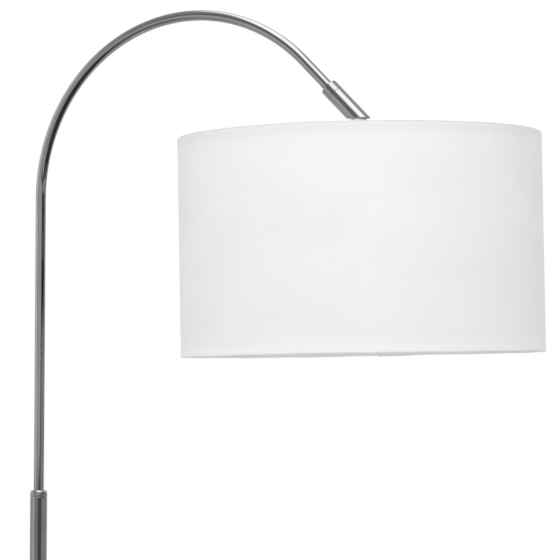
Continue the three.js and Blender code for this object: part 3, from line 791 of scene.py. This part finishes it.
def armPoint(distance):
    # the arm's centre line, by the length along it from where the bend begins
    radius = arm["bendRadius"]
    bend = radius * armTurn
    if distance < 0:
        return Vector((0, 0, arm["bendStart"] + distance))
    turned = min(distance, bend) / radius
    rest = max(distance - bend, 0)
    return Vector((radius * (1 - math.cos(turned)) + rest * math.sin(turned), 0,
                   arm["bendStart"] + radius * math.sin(turned) + rest * math.cos(turned)))


def makeArmTube():
    tree = emptyTree("arm tube rule")
    sizes = {
        "Bottom": arm["bottom"] * mm,
        "Bend start": arm["bendStart"] * mm,
        "Bend radius": arm["bendRadius"] * mm,
        "Bend angle": armTurn,
        "End length": (arm["endLength"] + arm["inCoupler"]) * mm,
        "Tube radius": arm["radius"] * mm,
    }
    count = arm["rings"]
    board, flow = namedInputs(tree, sizes)
    line = board.add("GeometryNodeMeshLine", None, {"Count": count})
    index = board.add("GeometryNodeInputIndex")
    bend = flow["Bend radius"] * flow["Bend angle"]
    upright = flow["Bend start"] - flow["Bottom"]
    along = index * (upright + bend + flow["End length"]) / (count - 1)
    turned = (along - upright).atLeast(0.0).atMost(bend) / flow["Bend radius"]
    rest = (along - upright - bend).atLeast(0.0)
    out = flow["Bend radius"] * (1.0 - turned.cos()) + rest * turned.sin()
    rise = flow["Bend radius"] * turned.sin() + rest * turned.cos()
    height = flow["Bottom"] + along.atMost(upright) + rise
    spot = board.add("ShaderNodeCombineXYZ", None, {0: out, 1: 0.0, 2: height})
    moved = board.add("GeometryNodeSetPosition", None, {"Geometry": line, "Position": spot})
    curve = board.add("GeometryNodeMeshToCurve", None, {0: moved})
    ring = board.add("GeometryNodeCurvePrimitiveCircle", None,
                     {"Resolution": arm["sides"], "Radius": flow["Tube radius"]})
    skin = board.add("GeometryNodeCurveToMesh", None, {"Curve": curve, "Profile Curve": ring})
    metal = finishes["polished nickel"]
    endTree(tree, board, skin, metal)
    mesh = grow("arm tube", tree, sizes, metal)
    work = bmesh.new()
    work.from_mesh(mesh)
    bmesh.ops.remove_doubles(work, verts=work.verts, dist=1e-6)
    # outward is away from the centre line, read at the lowest ring
    lowest = min(work.faces, key=lambda face: face.calc_center_median().z)
    centre = lowest.calc_center_median()
    if lowest.normal.dot(Vector((centre.x, centre.y, 0))) < 0:
        bmesh.ops.reverse_faces(work, faces=work.faces)
    work.to_mesh(mesh)
    work.free()
    mesh.shade_smooth()
    wall = {"thickness": arm["wall"] * mm, "offset": -1.0, "use_rim": True}
    addPiece("arm_tube", mesh, [("SOLIDIFY", wall)])


makeArmTube()
print("arm made")


coupler = {
    "radius": 12.7,
    "slide": 7.9,
    "ringLength": 15.7,
    "length": 66.5,
    "bore": 34.3,
    "chamber": 9.7,
    "mouthEdge": 1.5,
    "seamEdge": 0.3,
    "footEdge": 1.3,
    "acuteEdge": 2.3,
}
mouth = arm["bendRadius"] * armTurn + arm["endLength"]
couplerPlace = Matrix.Translation(armPoint(mouth) * mm) @ Matrix.Rotation(-(math.pi - armTurn), 4, "Y")
footSlope = -math.tan(math.pi - armTurn)    # of the level foot, in the coupler's own frame


def makeCouplerRing():
    radius = coupler["radius"]
    long = coupler["ringLength"]
    outline = rounded([
        (coupler["slide"], 0, 0.3), (radius, 0, coupler["mouthEdge"]), (radius, -long, coupler["seamEdge"]),
        (coupler["slide"], -long, 0.1),
    ], 8, 0.4)
    addTurned("coupler_ring", outline, 96, couplerPlace)


def couplerOutline(phi):
    # the bar's wall at one angle about its axis: the level foot gives each its own length
    slope = footSlope * math.cos(phi)
    radius = coupler["radius"]
    top = -coupler["ringLength"] - 0.3
    acute = max(0.0, math.cos(phi))
    edge = coupler["footEdge"] + coupler["acuteEdge"] * acute ** 3
    footOut = -coupler["length"] + radius * slope
    footIn = -coupler["length"] + coupler["chamber"] * slope
    return rounded([
        (coupler["slide"], top, 0.05), (radius, top, coupler["seamEdge"]), (radius, footOut, edge),
        (coupler["chamber"], footIn, 0.25), (coupler["chamber"], -coupler["bore"], 0.1),
        (coupler["slide"], -coupler["bore"], 0.05),
    ], 8, 0.35)


makeCouplerRing()
addTurned("coupler", couplerOutline, 120, couplerPlace, 50)
print("coupler made")


tilt = next(joint for joint in frame["joints"] if joint["name"] == "shade_tilt")
pivot = Vector(tilt["pos_m"])
knucklePlace = Matrix.Translation(pivot)
restTilt = -1.45    # of the hanging shade, in degrees
headPlace = knucklePlace @ Matrix.Rotation(math.radians(restTilt), 4, "Y")

knuckle = {
    "plateRadius": 10.5,
    "plateTop": 11.2,
    "plateThick": 4.0,
    "nippleHole": 5.3,
    "earRadius": 5.5,
    "earThick": 3.3,
    "innerEar": 2.6,
    "outerEar": 6.2,
    "edge": 0.45,
    "screwHeight": 1.6,
    "socketFlat": 1.15,
    "tonguePlate": 3.4,
    "tongueRadius": 9.0,
    "stemBore": 3.0,
    "stemRadius": 4.7,
    "stemLength": 10.5,
}


def earInto(work, start, reach, side):
    # a flat ear with a round end on the tilt axis
    radius = knuckle["earRadius"]
    thick = knuckle["earThick"]
    edge = knuckle["edge"]
    steps = 18
    turnWay = 1 if reach > 0 else -1
    def ringAt(level, inset):
        points = [(radius - inset, reach)]
        for step in range(steps + 1):
            angle = -math.pi * step / steps * turnWay
            points.append(((radius - inset) * math.cos(angle), (radius - inset) * math.sin(angle)))
        points.append((-(radius - inset), reach))
        return [work.verts.new(Vector((x, level * side, z)) * mm) for x, z in points]
    levels = [(start, edge), (start + edge * 0.3, edge * 0.3), (start + edge, 0),
              (start + thick - edge, 0), (start + thick - edge * 0.3, edge * 0.3), (start + thick, edge)]
    rings = [ringAt(level, inset) for level, inset in levels]
    bridge(work, rings)
    work.faces.new(rings[0])
    work.faces.new(rings[-1])


def makeFork():
    work = bmesh.new()
    top = knuckle["plateTop"]
    low = top - knuckle["plateThick"]
    plate = rounded([
        (knuckle["nippleHole"], top, 0.2), (knuckle["plateRadius"], top, 0.5),
        (knuckle["plateRadius"], low, 0.7), (knuckle["nippleHole"], low, 0.2),
    ], 5, 0.4)
    turnInto(work, plate, 72)
    for side in (1, -1):
        earInto(work, knuckle["outerEar"], top - 1.0, side)
    addPiece("knuckle_fork", meshFrom(work, "knuckle fork", 38, knucklePlace))


def pivotScrewOutline(phi):
    # a domed head with a six-sided socket
    seat = knuckle["outerEar"] + knuckle["earThick"] + 0.3
    top = seat + knuckle["screwHeight"]
    wedge = (phi + math.pi / 6) % (math.pi / 3) - math.pi / 6
    socket = knuckle["socketFlat"] / math.cos(wedge)
    return [
        (0, knuckle["innerEar"] + 0.3), (1.5, knuckle["innerEar"] + 0.3), (1.5, seat), (2.7, seat),
        (2.95, seat + 0.2), (3.0, seat + 0.6), (2.75, top - 0.45), (2.25, top - 0.1), (1.6, top),
        (socket, top - 0.02), (socket, top - 1.0), (0, top - 1.2),
    ]


def makePivotScrews():
    for node, lean in (("pivot_screw_left", -1), ("pivot_screw_right", 1)):
        place = knucklePlace @ Matrix.Rotation(lean * math.pi / 2, 4, "X")
        addTurned(node, pivotScrewOutline, 36, place, 30)


def makeTongue():
    work = bmesh.new()
    top = -knuckle["earRadius"] - 0.6    # clear of the fork's ears
    low = top - knuckle["tonguePlate"]
    stemLow = low - knuckle["stemLength"]
    bore = knuckle["stemBore"]
    stem = knuckle["stemRadius"]
    wide = knuckle["tongueRadius"]
    plate = rounded([
        (bore, stemLow, 0.2), (stem, stemLow, 0.4), (stem, low, 0.3),
        (wide, low, 0.5), (wide, top, 0.6), (bore, top, 0.2),
    ], 5, 0.4)
    turnInto(work, plate, 72)
    for side in (1, -1):
        earInto(work, knuckle["innerEar"], top - 1.0, side)
    addPiece("knuckle_tongue", meshFrom(work, "knuckle tongue", 38, headPlace))


makeFork()
makePivotScrews()
makeTongue()
print("knuckle made")


holder = {
    "capTop": -9.8,
    "capLow": -38.0,
    "bodyTop": -38.3,
    "seat": -44.0,
    "bodyLow": -78.0,
    "radius": 19.0,
    "skirt": 17.0,
    "wall": 2.0,
    "threadPitch": 2.0,
    "threadDepth": 0.55,
    "threadSteps": 72,
    "switchAxis": -30.3,
    "capCeiling": -20.3,
}


def makeHolderCap():
    top = holder["capTop"]
    radius = holder["radius"]
    inside = radius - holder["wall"]
    outline = rounded([
        (5.0, top, 0.3), (8.5, top, 0.9), (8.5, top - 4, 1.5), (17, top - 9, 3.0), (radius, top - 12, 3.0),
        (radius, holder["capLow"], 0.4), (inside, holder["capLow"], 0.2),
        (inside, holder["capCeiling"] - 4, 1.0), (inside - 3, holder["capCeiling"], 1.0),
        (5.0, holder["capCeiling"], 0.2),
    ], 6, 0.4)
    addTurned("holder_cap", outline, 96, headPlace)


def holderBodyOutline(phi):
    # two grips above the seat, a screw thread below it for the clamp ring
    top = holder["bodyTop"]
    seat = holder["seat"]
    low = holder["bodyLow"]
    inside = holder["skirt"] - holder["wall"]
    radius = holder["radius"]
    groove = radius - 0.35
    points = [
        (inside, top), (radius - 0.3, top), (radius, top - 0.3), (radius, top - 1.6), (groove, top - 2.0),
        (groove, top - 3.2), (radius, top - 3.6), (radius, seat + 0.3), (radius - 0.3, seat),
        (holder["skirt"], seat),
    ]
    steps = holder["threadSteps"]
    for step in range(1, steps):
        height = seat - (seat - low) * step / steps
        ease = min(1.0, (step - 1) / 4, (steps - 1 - step) / 6)
        wave = 0.5 + 0.5 * math.cos(fullTurn * height / holder["threadPitch"] - phi)
        points.append((holder["skirt"] - holder["threadDepth"] * wave * max(0.0, ease), height))
    points += [(holder["skirt"] - 0.5, low), (inside + 0.2, low), (inside, low + 0.3)]
    return points


clamp = {"bore": 17.3, "radius": 24.0, "top": -47.2, "flange": 3.0, "low": -55.9, "neck": 19.5,
         "ribs": 40, "ribSize": 1.6, "ribStand": 0.6, "ribEdge": 0.45}


def makeClampRing():
    # the ring is turned, its grip ribs are laid round it by a rule
    rim = clamp["radius"] - clamp["ribStand"]
    outline = rounded([
        (clamp["bore"], clamp["top"], 0.2), (rim, clamp["top"], 0.4),
        (rim, clamp["top"] - clamp["flange"], 0.5),
        (clamp["neck"], clamp["low"], 1.0), (clamp["bore"], clamp["low"], 0.2),
    ], 5, 0.3)
    tree = emptyTree("grip rib rule")
    sizes = {
        "Ring radius": (clamp["radius"] - 1.0) * mm,
        "Rib width": clamp["ribSize"] * mm,
        "Rib depth": clamp["ribSize"] * mm,
        "Rib height": (clamp["flange"] - 0.5) * mm,
    }
    board, flow = namedInputs(tree, sizes)
    ring = board.add("GeometryNodeCurvePrimitiveCircle", None,
                     {"Resolution": clamp["ribs"], "Radius": flow["Ring radius"]})
    size = board.add("ShaderNodeCombineXYZ", None,
                     {0: flow["Rib depth"], 1: flow["Rib width"], 2: flow["Rib height"]})
    block = board.add("GeometryNodeMeshCube", None, {"Size": size})
    tangent = board.add("GeometryNodeInputTangent")
    facing = board.add("FunctionNodeAlignEulerToVector", {"axis": "Y"}, {"Vector": tangent})
    ribs = board.add("GeometryNodeInstanceOnPoints", None,
                     {"Points": ring, "Instance": block, "Rotation": facing})
    plastic = finishes["white moulding"]
    endTree(tree, board, ribs, plastic)
    ribMesh = grow("grip ribs", tree, sizes, plastic)
    work = bmesh.new()
    work.from_mesh(ribMesh)
    bmesh.ops.remove_doubles(work, verts=work.verts, dist=1e-7)
    for vert in work.verts:
        vert.co.z += (clamp["top"] - clamp["flange"] / 2) * mm
    upright = [e for e in work.edges if abs(e.verts[0].co.z - e.verts[1].co.z) > mm]
    bmesh.ops.bevel(work, geom=upright, offset=clamp["ribEdge"] * mm, segments=2, affect="EDGES")
    turnInto(work, outline, 120)
    addPiece("shade_clamp_ring", meshFrom(work, "shade clamp ring", 38, headPlace))


makeHolderCap()
addTurned("holder_body", holderBodyOutline, 96, headPlace, 60)
makeClampRing()
print("lampholder made")


switch = {"shaft": 1.8, "inner": 10.3, "outer": 31.0, "knobStart": 31.3, "knobEnd": 40.5, "knobRadius": 5.5,
          "wing": (3.4, 16.0, 7.0), "wingMiddle": 5.2, "wingEdge": 1.2, "ridges": 16, "ridgeDepth": 0.22}


def switchKnobOutline(phi):
    start = switch["knobStart"]
    end = switch["knobEnd"]
    ridge = switch["ridgeDepth"] * (0.5 + 0.5 * math.cos(switch["ridges"] * phi))
    radius = switch["knobRadius"] - ridge
    return [
        (0, start), (3.7, start), (4.1, start + 0.3), (radius, start + 2), (radius, end - 2.0),
        (radius - 0.2, end - 1.2), (4.6, end - 0.5), (4.0, end - 0.1), (3.2, end), (0, end),
    ]


def makeSwitch():
    axis = Matrix.Translation((0, 0, holder["switchAxis"] * mm)) @ Matrix.Rotation(math.pi / 2, 4, "X")
    place = headPlace @ axis
    shaft = rounded([
        (0, switch["inner"]), (switch["shaft"], switch["inner"], 0.2),
        (switch["shaft"], switch["outer"], 0.4), (0, switch["outer"]),
    ], 4, 0.3)
    addTurned("switch_shaft", shaft, 32, place)
    work = bmesh.new()
    turnInto(work, switchKnobOutline, 128)
    wide, long, deep = switch["wing"]
    middle = switch["knobStart"] + switch["wingMiddle"]
    low = (-wide / 2, -long / 2, middle - deep / 2)
    high = (wide / 2, long / 2, middle + deep / 2)
    boxInto(work, low, high, switch["wingEdge"])
    addPiece("switch_knob", meshFrom(work, "switch knob", 38, place))


makeSwitch()
print("switch made")


bulb = {"capTop": -60.2, "capLow": -85.2, "capRadius": 12.8, "pitch": 3.62, "thread": 0.75, "throat": -85.5,
        "neck": 11.8, "low": -169.6, "radius": 30.0, "glass": 1.0, "join": 26.0}


def bulbCapOutline(phi):
    top = bulb["capTop"]
    low = bulb["capLow"]
    radius = bulb["capRadius"]
    points = [(0, low), (radius - 0.8, low), (radius - 0.3, low + 0.3), (radius, low + 1.0)]
    steps = 60
    start = low + 1.6
    end = top - 3.6
    for step in range(steps + 1):
        height = start + (end - start) * step / steps
        ease = min(1.0, step / 8, (steps - step) / 8)
        wave = 0.5 + 0.5 * math.cos(fullTurn * height / bulb["pitch"] - phi)
        points.append((radius - bulb["thread"] * wave * ease, height))
    points += [(radius - 0.6, top - 3.0), (9.4, top - 0.6), (8.6, top), (0, top)]
    return points


def bulbGlassLine(inset):
    # neck, a long easy shoulder, then the round end
    radius = bulb["radius"] - inset
    centre = bulb["low"] + bulb["radius"]
    join = math.radians(bulb["join"])
    start = Vector((bulb["neck"] - inset, bulb["throat"]))
    end = Vector((radius * math.cos(join), centre + radius * math.sin(join)))
    way = Vector((math.sin(join), -math.cos(join)))
    first = start + Vector((0, -16))
    second = end - way * 17
    points = []
    for step in range(19):
        t = step / 18
        u = 1 - t
        spot = start * u ** 3 + first * 3 * t * u ** 2 + second * 3 * t * t * u + end * t ** 3
        points.append(tuple(spot))
    return points + arc((0, centre), radius, bulb["join"], -90, 24)[1:]


addTurned("bulb_cap", bulbCapOutline, 72, headPlace, 60)
addTurned("bulb_glass", bulbGlassLine(0) + bulbGlassLine(bulb["glass"])[::-1], 96, headPlace, 60)
print("bulb made")


shade = {
    "radius": 254.0,
    "top": -13.6,
    "low": -318.4,
    "fold": 8.0,
    "foldDepth": 7.0,
    "roll": 2.1,
    "thick": 0.7,
    "seamAngle": 108.0,
    "overlap": 12.0,
    "lift": 0.85,
    "liftRun": 45.0,
    "columns": 260,
    "hemPly": 0.22,
    "sway": ((0.10, 3, 0.6), (0.06, 7, 2.0)),    # (size, waves round the shade, start)
    "hemWave": ((0.30, 4, 1.1), (0.16, 13, 0.0), (0.10, 31, 0.7)),
    "topWave": ((0.16, 5, 2.1), (0.10, 17, 0.4)),
    "linerRadius": 252.5,
    "linerThick": 0.8,
    "linerEnd": 1.1,
    "wireRadius": 2.0,
    "wireCircle": 249.35,
    "topWire": -18.7,
    "lowWire": -313.3,
    "spiderWire": 1.6,
    "spiderLevel": -22.6,
    "hubRadius": 23.4,
    "hubTop": -44.3,
    "hubLow": -46.9,
    "kneeRadius": 46.8,
    "hubWeld": (2.4, (0.8, 1.3, 0.9)),
    "rimWeld": (2.2, (1.0, 1.35, 0.7)),
}


def clothProfile():
    # from the inner end of the upper fold, over both rims, to the inner end of the lower one:
    # (radius, height, distance up the cloth from its lower rim, outward direction)
    radius = shade["radius"]
    inner = radius - shade["fold"]
    roll = shade["roll"]
    ply = shade["hemPly"]
    hemTop = shade["low"] + fabricLook["hemWidth"] / mm
    bandLow = shade["top"] - fabricLook["topWidth"] / mm
    line = []
    line += [(inner, shade["top"] - shade["foldDepth"] + 2.2 * i) for i in range(3)]
    line += arc((inner + roll, shade["top"] - roll), roll, 180, 90, 5)[1:]
    line += [(inner + shade["fold"] / 2, shade["top"])]
    line += arc((radius - roll, shade["top"] - roll), roll, 90, 0, 6)
    line += [(radius, bandLow + 2), (radius, bandLow + 0.4), (radius - ply, bandLow - 0.6)]
    steps = 26
    for i in range(1, steps):
        line.append((radius - ply, bandLow - 0.6 + (hemTop + 0.6 - bandLow + 0.6) * i / steps))
    line += [(radius - ply, hemTop + 0.6), (radius, hemTop - 0.4)]
    line += [(radius, hemTop - 4), (radius, shade["low"] + 5)]
    line += arc((radius - roll, shade["low"] + roll), roll, 0, -90, 6)
    line += [(inner + shade["fold"] / 2, shade["low"])]
    line += arc((inner + roll, shade["low"] + roll), roll, -90, -180, 5)
    line += [(inner, shade["low"] + roll + 2.2), (inner, shade["low"] + shade["foldDepth"])]
    lengths = [0.0]
    for here, following in zip(line, line[1:]):
        lengths.append(lengths[-1] + math.dist(here, following))
    lowRim = next(i for i, point in enumerate(line) if i > 20 and point[1] <= shade["low"] + 0.02)
    total = []
    for i, (r, z) in enumerate(line):
        before = line[max(i - 1, 0)]
        after = line[min(i + 1, len(line) - 1)]
        along = Vector((after[0] - before[0], after[1] - before[1])).normalized()
        total.append((r, z, lengths[lowRim] - lengths[i], (-along.y, along.x)))
    return total


def clothLift(distance, circle):
    # the last run of the cloth rises over its own first edge
    start = circle - shade["liftRun"]
    share = min(1.0, max(0.0, (distance - start) / (shade["liftRun"] - 4)))
    return shade["lift"] * share * share * (3 - 2 * share)


def wave(name, phi):
    return sum(size * math.sin(turns * phi + start) for size, turns, start in shade[name])


def makeShadeCloth():
    profile = clothProfile()
    circle = fullTurn * shade["radius"]
    long = circle + shade["overlap"]
    count = shade["columns"]
    mesh = bpy.data.meshes.new("shade fabric")
    points = []
    flat = []
    for i in range(count + 1):
        distance = long * i / count
        phi = math.radians(shade["seamAngle"]) + distance / shade["radius"]
        lift = clothLift(distance, circle)
        sway = wave("sway", phi)
        hemWave = wave("hemWave", phi)
        topWave = wave("topWave", phi)
        for radius, height, up, (outX, outZ) in profile:
            share = (height - shade["low"]) / (shade["top"] - shade["low"])
            r = radius + outX * lift + sway * math.sin(math.pi * share)
            z = height + outZ * lift + hemWave * (1 - share) ** 8 + topWave * share ** 8
            points.append(Vector((r * math.cos(phi), r * math.sin(phi), z)) * mm)
            flat.append((distance * mm, up * mm))
    wide = len(profile)
    faces = []
    for i in range(count):
        for j in range(wide - 1):
            a = i * wide + j
            faces.append((a, a + 1, a + 1 + wide, a + wide))
    mesh.from_pydata(points, [], faces)
    layer = mesh.uv_layers.new(name="flat cloth")
    for loop in mesh.loops:
        layer.data[loop.index].uv = flat[loop.vertex_index]
    mesh.transform(headPlace)
    work = bmesh.new()
    work.from_mesh(mesh)
    middle = headPlace @ Vector((0, 0, shade["low"] * mm / 2))
    sample = max(work.faces, key=lambda face: (face.calc_center_median() - middle).xy.length)
    if sample.normal.dot((sample.calc_center_median() - middle) * Vector((1, 1, 0))) < 0:
        bmesh.ops.reverse_faces(work, faces=work.faces)
    work.to_mesh(mesh)
    work.free()
    mesh.shade_smooth()
    ply = {"thickness": shade["thick"] * mm, "offset": -1.0, "use_rim": True}
    cloth = addPiece("shade_fabric", mesh, [("SOLIDIFY", ply)])
    wideFlat = long * mm
    tallFlat = (sum(math.dist(a[:2], b[:2]) for a, b in zip(profile, profile[1:]))) * mm
    print("cloth cut:", round(wideFlat, 4), "by", round(tallFlat, 4))
    return cloth, (wideFlat, tallFlat)


def makeLiner():
    outer = shade["linerRadius"] + shade["linerThick"] / 2
    inner = shade["linerRadius"] - shade["linerThick"] / 2
    top = shade["top"] - shade["linerEnd"]
    low = shade["low"] + shade["linerEnd"]
    outline = rounded([(outer, low, 0.2), (outer, top, 0.2), (inner, top, 0.2), (inner, low, 0.2)], 3, 2.0)
    cut = (fullTurn * shade["linerRadius"] * mm, (top - low) * mm)
    return addTurned("shade_liner", outline, 200, headPlace), cut


def makeRimWires():
    for node, level in (("rim_wire_top", shade["topWire"]), ("rim_wire_bottom", shade["lowWire"])):
        outline = arc((shade["wireCircle"], level), shade["wireRadius"], 0, 348, 29)
        addTurned(node, outline, 180, headPlace, 60)


def makeSpider():
    hub = rounded([
        (17.3, shade["hubLow"], 0.4), (shade["hubRadius"], shade["hubLow"], 1.1),
        (shade["hubRadius"], shade["hubTop"], 1.1), (17.3, shade["hubTop"], 0.4),
    ], 6, 0.3)
    addTurned("spider_hub", hub, 96, headPlace)
    wire = shade["spiderWire"]
    level = shade["spiderLevel"]
    start = Vector((shade["hubRadius"] + wire * 0.4, 0, (shade["hubTop"] + shade["hubLow"]) / 2))
    knee = Vector((shade["kneeRadius"], 0, level))
    end = Vector((shade["wireCircle"] + wire, 0, level))
    before = start.lerp(knee, 0.62)
    after = knee + Vector(((knee - before).length, 0, 0))
    for number in range(3):
        points = [start + (before - start) * i / 5 for i in range(6)]
        for i in range(1, 15):
            t = i / 15
            points.append(before * (1 - t) ** 2 + knee * 2 * t * (1 - t) + after * t * t)
        points += [after + (end - after) * i / 12 for i in range(13)]
        line, radii = smoothBar(points, wire)
        work = bmesh.new()
        sweepInto(work, line, radii, 16)
        weldInto(work, Vector((shade["hubRadius"] + 0.5, 0, start.z)), *shade["hubWeld"])
        weldInto(work, Vector((shade["wireCircle"] - 0.4, 0, level + 1.9)), *shade["rimWeld"])
        spin = headPlace @ Matrix.Rotation(math.radians(90 + 120 * number), 4, "Z")
        addPiece(f"spider_arm_{number + 1}", meshFrom(work, f"spider arm {number + 1}", 50, spin))


def weldInto(work, centre, size, stretch):
    # a small uneven blob of weld
    made = bmesh.ops.create_icosphere(work, subdivisions=3, radius=1.0)["verts"]
    for vert in made:
        ruffle = 1 + 0.08 * math.sin(7 * vert.co.x + 3 * vert.co.y) + 0.06 * math.sin(9 * vert.co.z)
        vert.co = (centre + Vector([vert.co[i] * stretch[i] for i in range(3)]) * size * 0.7 * ruffle) * mm


cloth, cut = makeShadeCloth()
linerPiece, linerCut = makeLiner()
makeRimWires()
makeSpider()
for sheet in (cloth, linerPiece):
    sheet.visible_glossy = False    # the metal keeps its plain stripes beside the white shade
print("shade made")


for node, slotName in slotOf.items():
    slots = nodes[node].data.materials
    slots.clear()
    slots.append(finishes[slotFinish[slotName]])
print("carried-over parts finished")


view = {
    "from": (2.294, -3.590, 1.347),
    "heading": 27.8,
    "pitch": 1.33,
    "roll": 0.3,
    "lens": 184.4,
    "sensor": 36.0,
}


def makeCamera():
    data = bpy.data.cameras.new("camera")
    data.lens = view["lens"]
    data.sensor_width = view["sensor"]
    data.clip_end = 100
    camera = bpy.data.objects.new("camera", data)
    heading = math.radians(view["heading"])
    turnTo = (Matrix.Rotation(heading, 4, "Z") @ Matrix.Rotation(math.radians(90 + view["pitch"]), 4, "X")
              @ Matrix.Rotation(math.radians(view["roll"]), 4, "Z"))
    camera.matrix_world = Matrix.Translation(view["from"]) @ turnTo
    scene.collection.objects.link(camera)
    scene.camera = camera


# what the polished metal sees, as patches of the room: heading from the front and height, full
# and faded radius, all in degrees, and brightness; a ledge also fades out above and below, by the
# upward part of the direction
room = {
    "walls": (0.40, 0.40, 0.395),
    "patches": {
        "left wall": ((-100, 4), 8, 46, (0.64, 0.64, 0.625)),
        "low left": ((-95, -30), 12, 34, (0.40, 0.385, 0.425)),
        "left skirting": ((-75, -55), 10, 28, (0.25, 0.245, 0.265)),
        "right wall": ((106, -8), 8, 34, (0.28, 0.275, 0.305)),
        "dark doorway": ((60, -16), 27, 44, (0.023, 0.022, 0.025)),
        "dark floor edge": ((8, -48), 16, 44, (0.035, 0.036, 0.031)),
        "dark corner": ((62, -45), 18, 34, (0.035, 0.035, 0.035)),
        "left corner": ((-45, -46), 6, 22, (0.140, 0.138, 0.140)),
        "floor": ((0, -90), 8, 20, (0.34, 0.33, 0.35)),
        "shelf": ((-50, 27), 13, 30, (0.160, 0.160, 0.138)),
        "high left": ((-95, 50), 10, 34, (0.28, 0.28, 0.28)),
        "overhead light": ((4, 66), 18, 31, (1.42, 1.42, 1.42)),
        "overhead back": ((180, 78), 15, 27, (1.42, 1.42, 1.42)),
        "backdrop": ((180, 0), 20, 48, (0.72, 0.72, 0.72)),
    },
    "ledges": {
        "table": ((84, -2), 28, 56, (-0.002, 0.018), (-0.13, -0.085), (0.272, 0.270, 0.286)),
        "table front": ((-12, -3), 30, 48, (-0.052, -0.034), (-0.10, -0.085), (0.236, 0.236, 0.223)),
        "left table": ((-105, -3), 12, 36, (-0.052, -0.034), (-0.10, -0.085), (0.36, 0.36, 0.36)),
        "table leg": ((14, -3), 8, 27, (-0.052, -0.034), (-0.10, -0.085), (0.075, 0.075, 0.072)),
    },
    "soft": 0.695,
}


def roomWay(spot):
    heading = math.radians(spot[0]) + math.radians(view["heading"]) - math.pi / 2
    rise = math.radians(spot[1])
    return (math.cos(rise) * math.cos(heading), math.cos(rise) * math.sin(heading), math.sin(rise))


def roomShare(board, way, spot, full, faded):
    # 1 near a spot of the room, 0 past its faded radius
    facing = board.add("ShaderNodeVectorMath", {"operation": "DOT_PRODUCT"},
                       {0: way, 1: roomWay(spot)}, "Value")
    return facing.fade(math.cos(math.radians(faded)), math.cos(math.radians(full)))


def makeWorld():
    world = bpy.data.worlds.new("studio")
    scene.world = world
    world.use_nodes = True
    tree = world.node_tree
    tree.nodes.clear()
    board = Board(tree)
    way = board.add("ShaderNodeTexCoord", None, None, "Generated")
    tone = board.add("ShaderNodeRGB")
    tone.socket.default_value = (*room["walls"], 1.0)
    for spot, full, faded, colour in room["patches"].values():
        tone = board.blend(roomShare(board, way, spot, full, faded), tone, colour)
    rise = board.add("ShaderNodeSeparateXYZ", None, {0: way}, 2)
    for spot, full, faded, top, low, colour in room["ledges"].values():
        share = roomShare(board, way, spot, full, faded)
        tone = board.blend(share * (1.0 - rise.fade(*top)) * rise.fade(*low), tone, colour)
    seen = board.add("ShaderNodeLightPath", None, None, "Is Camera Ray")
    mirrored = board.also(seen, "Is Glossy Ray")
    soft = board.blend(mirrored, (room["soft"],) * 3, tone)
    final = board.blend(seen, soft, (1.0, 1.0, 1.0))
    light = board.add("ShaderNodeBackground", None, {"Color": final})
    out = tree.nodes.new("ShaderNodeOutputWorld")
    tree.links.new(light.socket, out.inputs["Surface"])


lights = {
    "front": {"from": (1.22, -1.45, 2.70), "size": 1.2, "power": 14.0},
    "left": {"from": (-3.4, -1.2, 2.2), "size": 2.4, "power": 20.0},
    "back": {"from": (1.0, 4.4, 2.9), "size": 3.0, "power": 22.0},
}
lightsAim = (0.35, 0, 1.35)


def makeLights():
    for name, look in lights.items():
        data = bpy.data.lights.new(name, "AREA")
        data.size = look["size"]
        data.energy = look["power"]
        lamp = bpy.data.objects.new(name, data)
        aim = Vector(lightsAim) - Vector(look["from"])
        facing = aim.to_track_quat("-Z", "Y").to_matrix().to_4x4()
        lamp.matrix_world = Matrix.Translation(look["from"]) @ facing
        lamp.visible_glossy = False
        lamp.visible_camera = False
        scene.collection.objects.link(lamp)


ground = {"radius": 4.0, "fade": (1.1, 3.6)}    # the floor turns to plain white between the two distances


def floorFinish():
    material = bpy.data.materials.new("pale floor")
    material.use_nodes = True
    tree = material.node_tree
    board = Board(tree)
    shader = tree.nodes["Principled BSDF"]
    place = board.add("ShaderNodeTexCoord", None, None, "Object")
    speck = board.noise(place, 160.0, 4.0, 0.6)
    cloud = board.noise(place, 1.4, 3.0, 0.5)
    tone = board.blend(cloud * 0.7 + speck * 0.3, (0.84, 0.84, 0.835), (0.80, 0.80, 0.79))
    tree.links.new(tone.socket, shader.inputs["Base Color"])
    tree.links.new((0.55 + 0.15 * speck).socket, shader.inputs["Roughness"])
    far = board.add("ShaderNodeVectorMath", {"operation": "LENGTH"}, {0: place}, "Value")
    far = far.fade(*ground["fade"])
    glow = board.add("ShaderNodeEmission", None, {"Color": (1.0, 1.0, 1.0, 1.0)})
    mixed = board.add("ShaderNodeMixShader", None, {0: far, 1: Flow(board, shader.outputs[0]), 2: glow})
    tree.links.new(mixed.socket, tree.nodes["Material Output"].inputs["Surface"])
    return material


def makeFloor():
    work = bmesh.new()
    bmesh.ops.create_circle(work, cap_ends=True, segments=128, radius=ground["radius"])
    mesh = bpy.data.meshes.new("floor")
    work.to_mesh(mesh)
    work.free()
    mesh.materials.append(floorFinish())
    floor = bpy.data.objects.new("floor", mesh)
    scene.collection.objects.link(floor)
    floor.visible_glossy = False


makeCamera()
makeWorld()
makeLights()
makeFloor()
scene.view_settings.view_transform = "Standard"
print("camera, light and floor made")

bpy.context.view_layer.update()
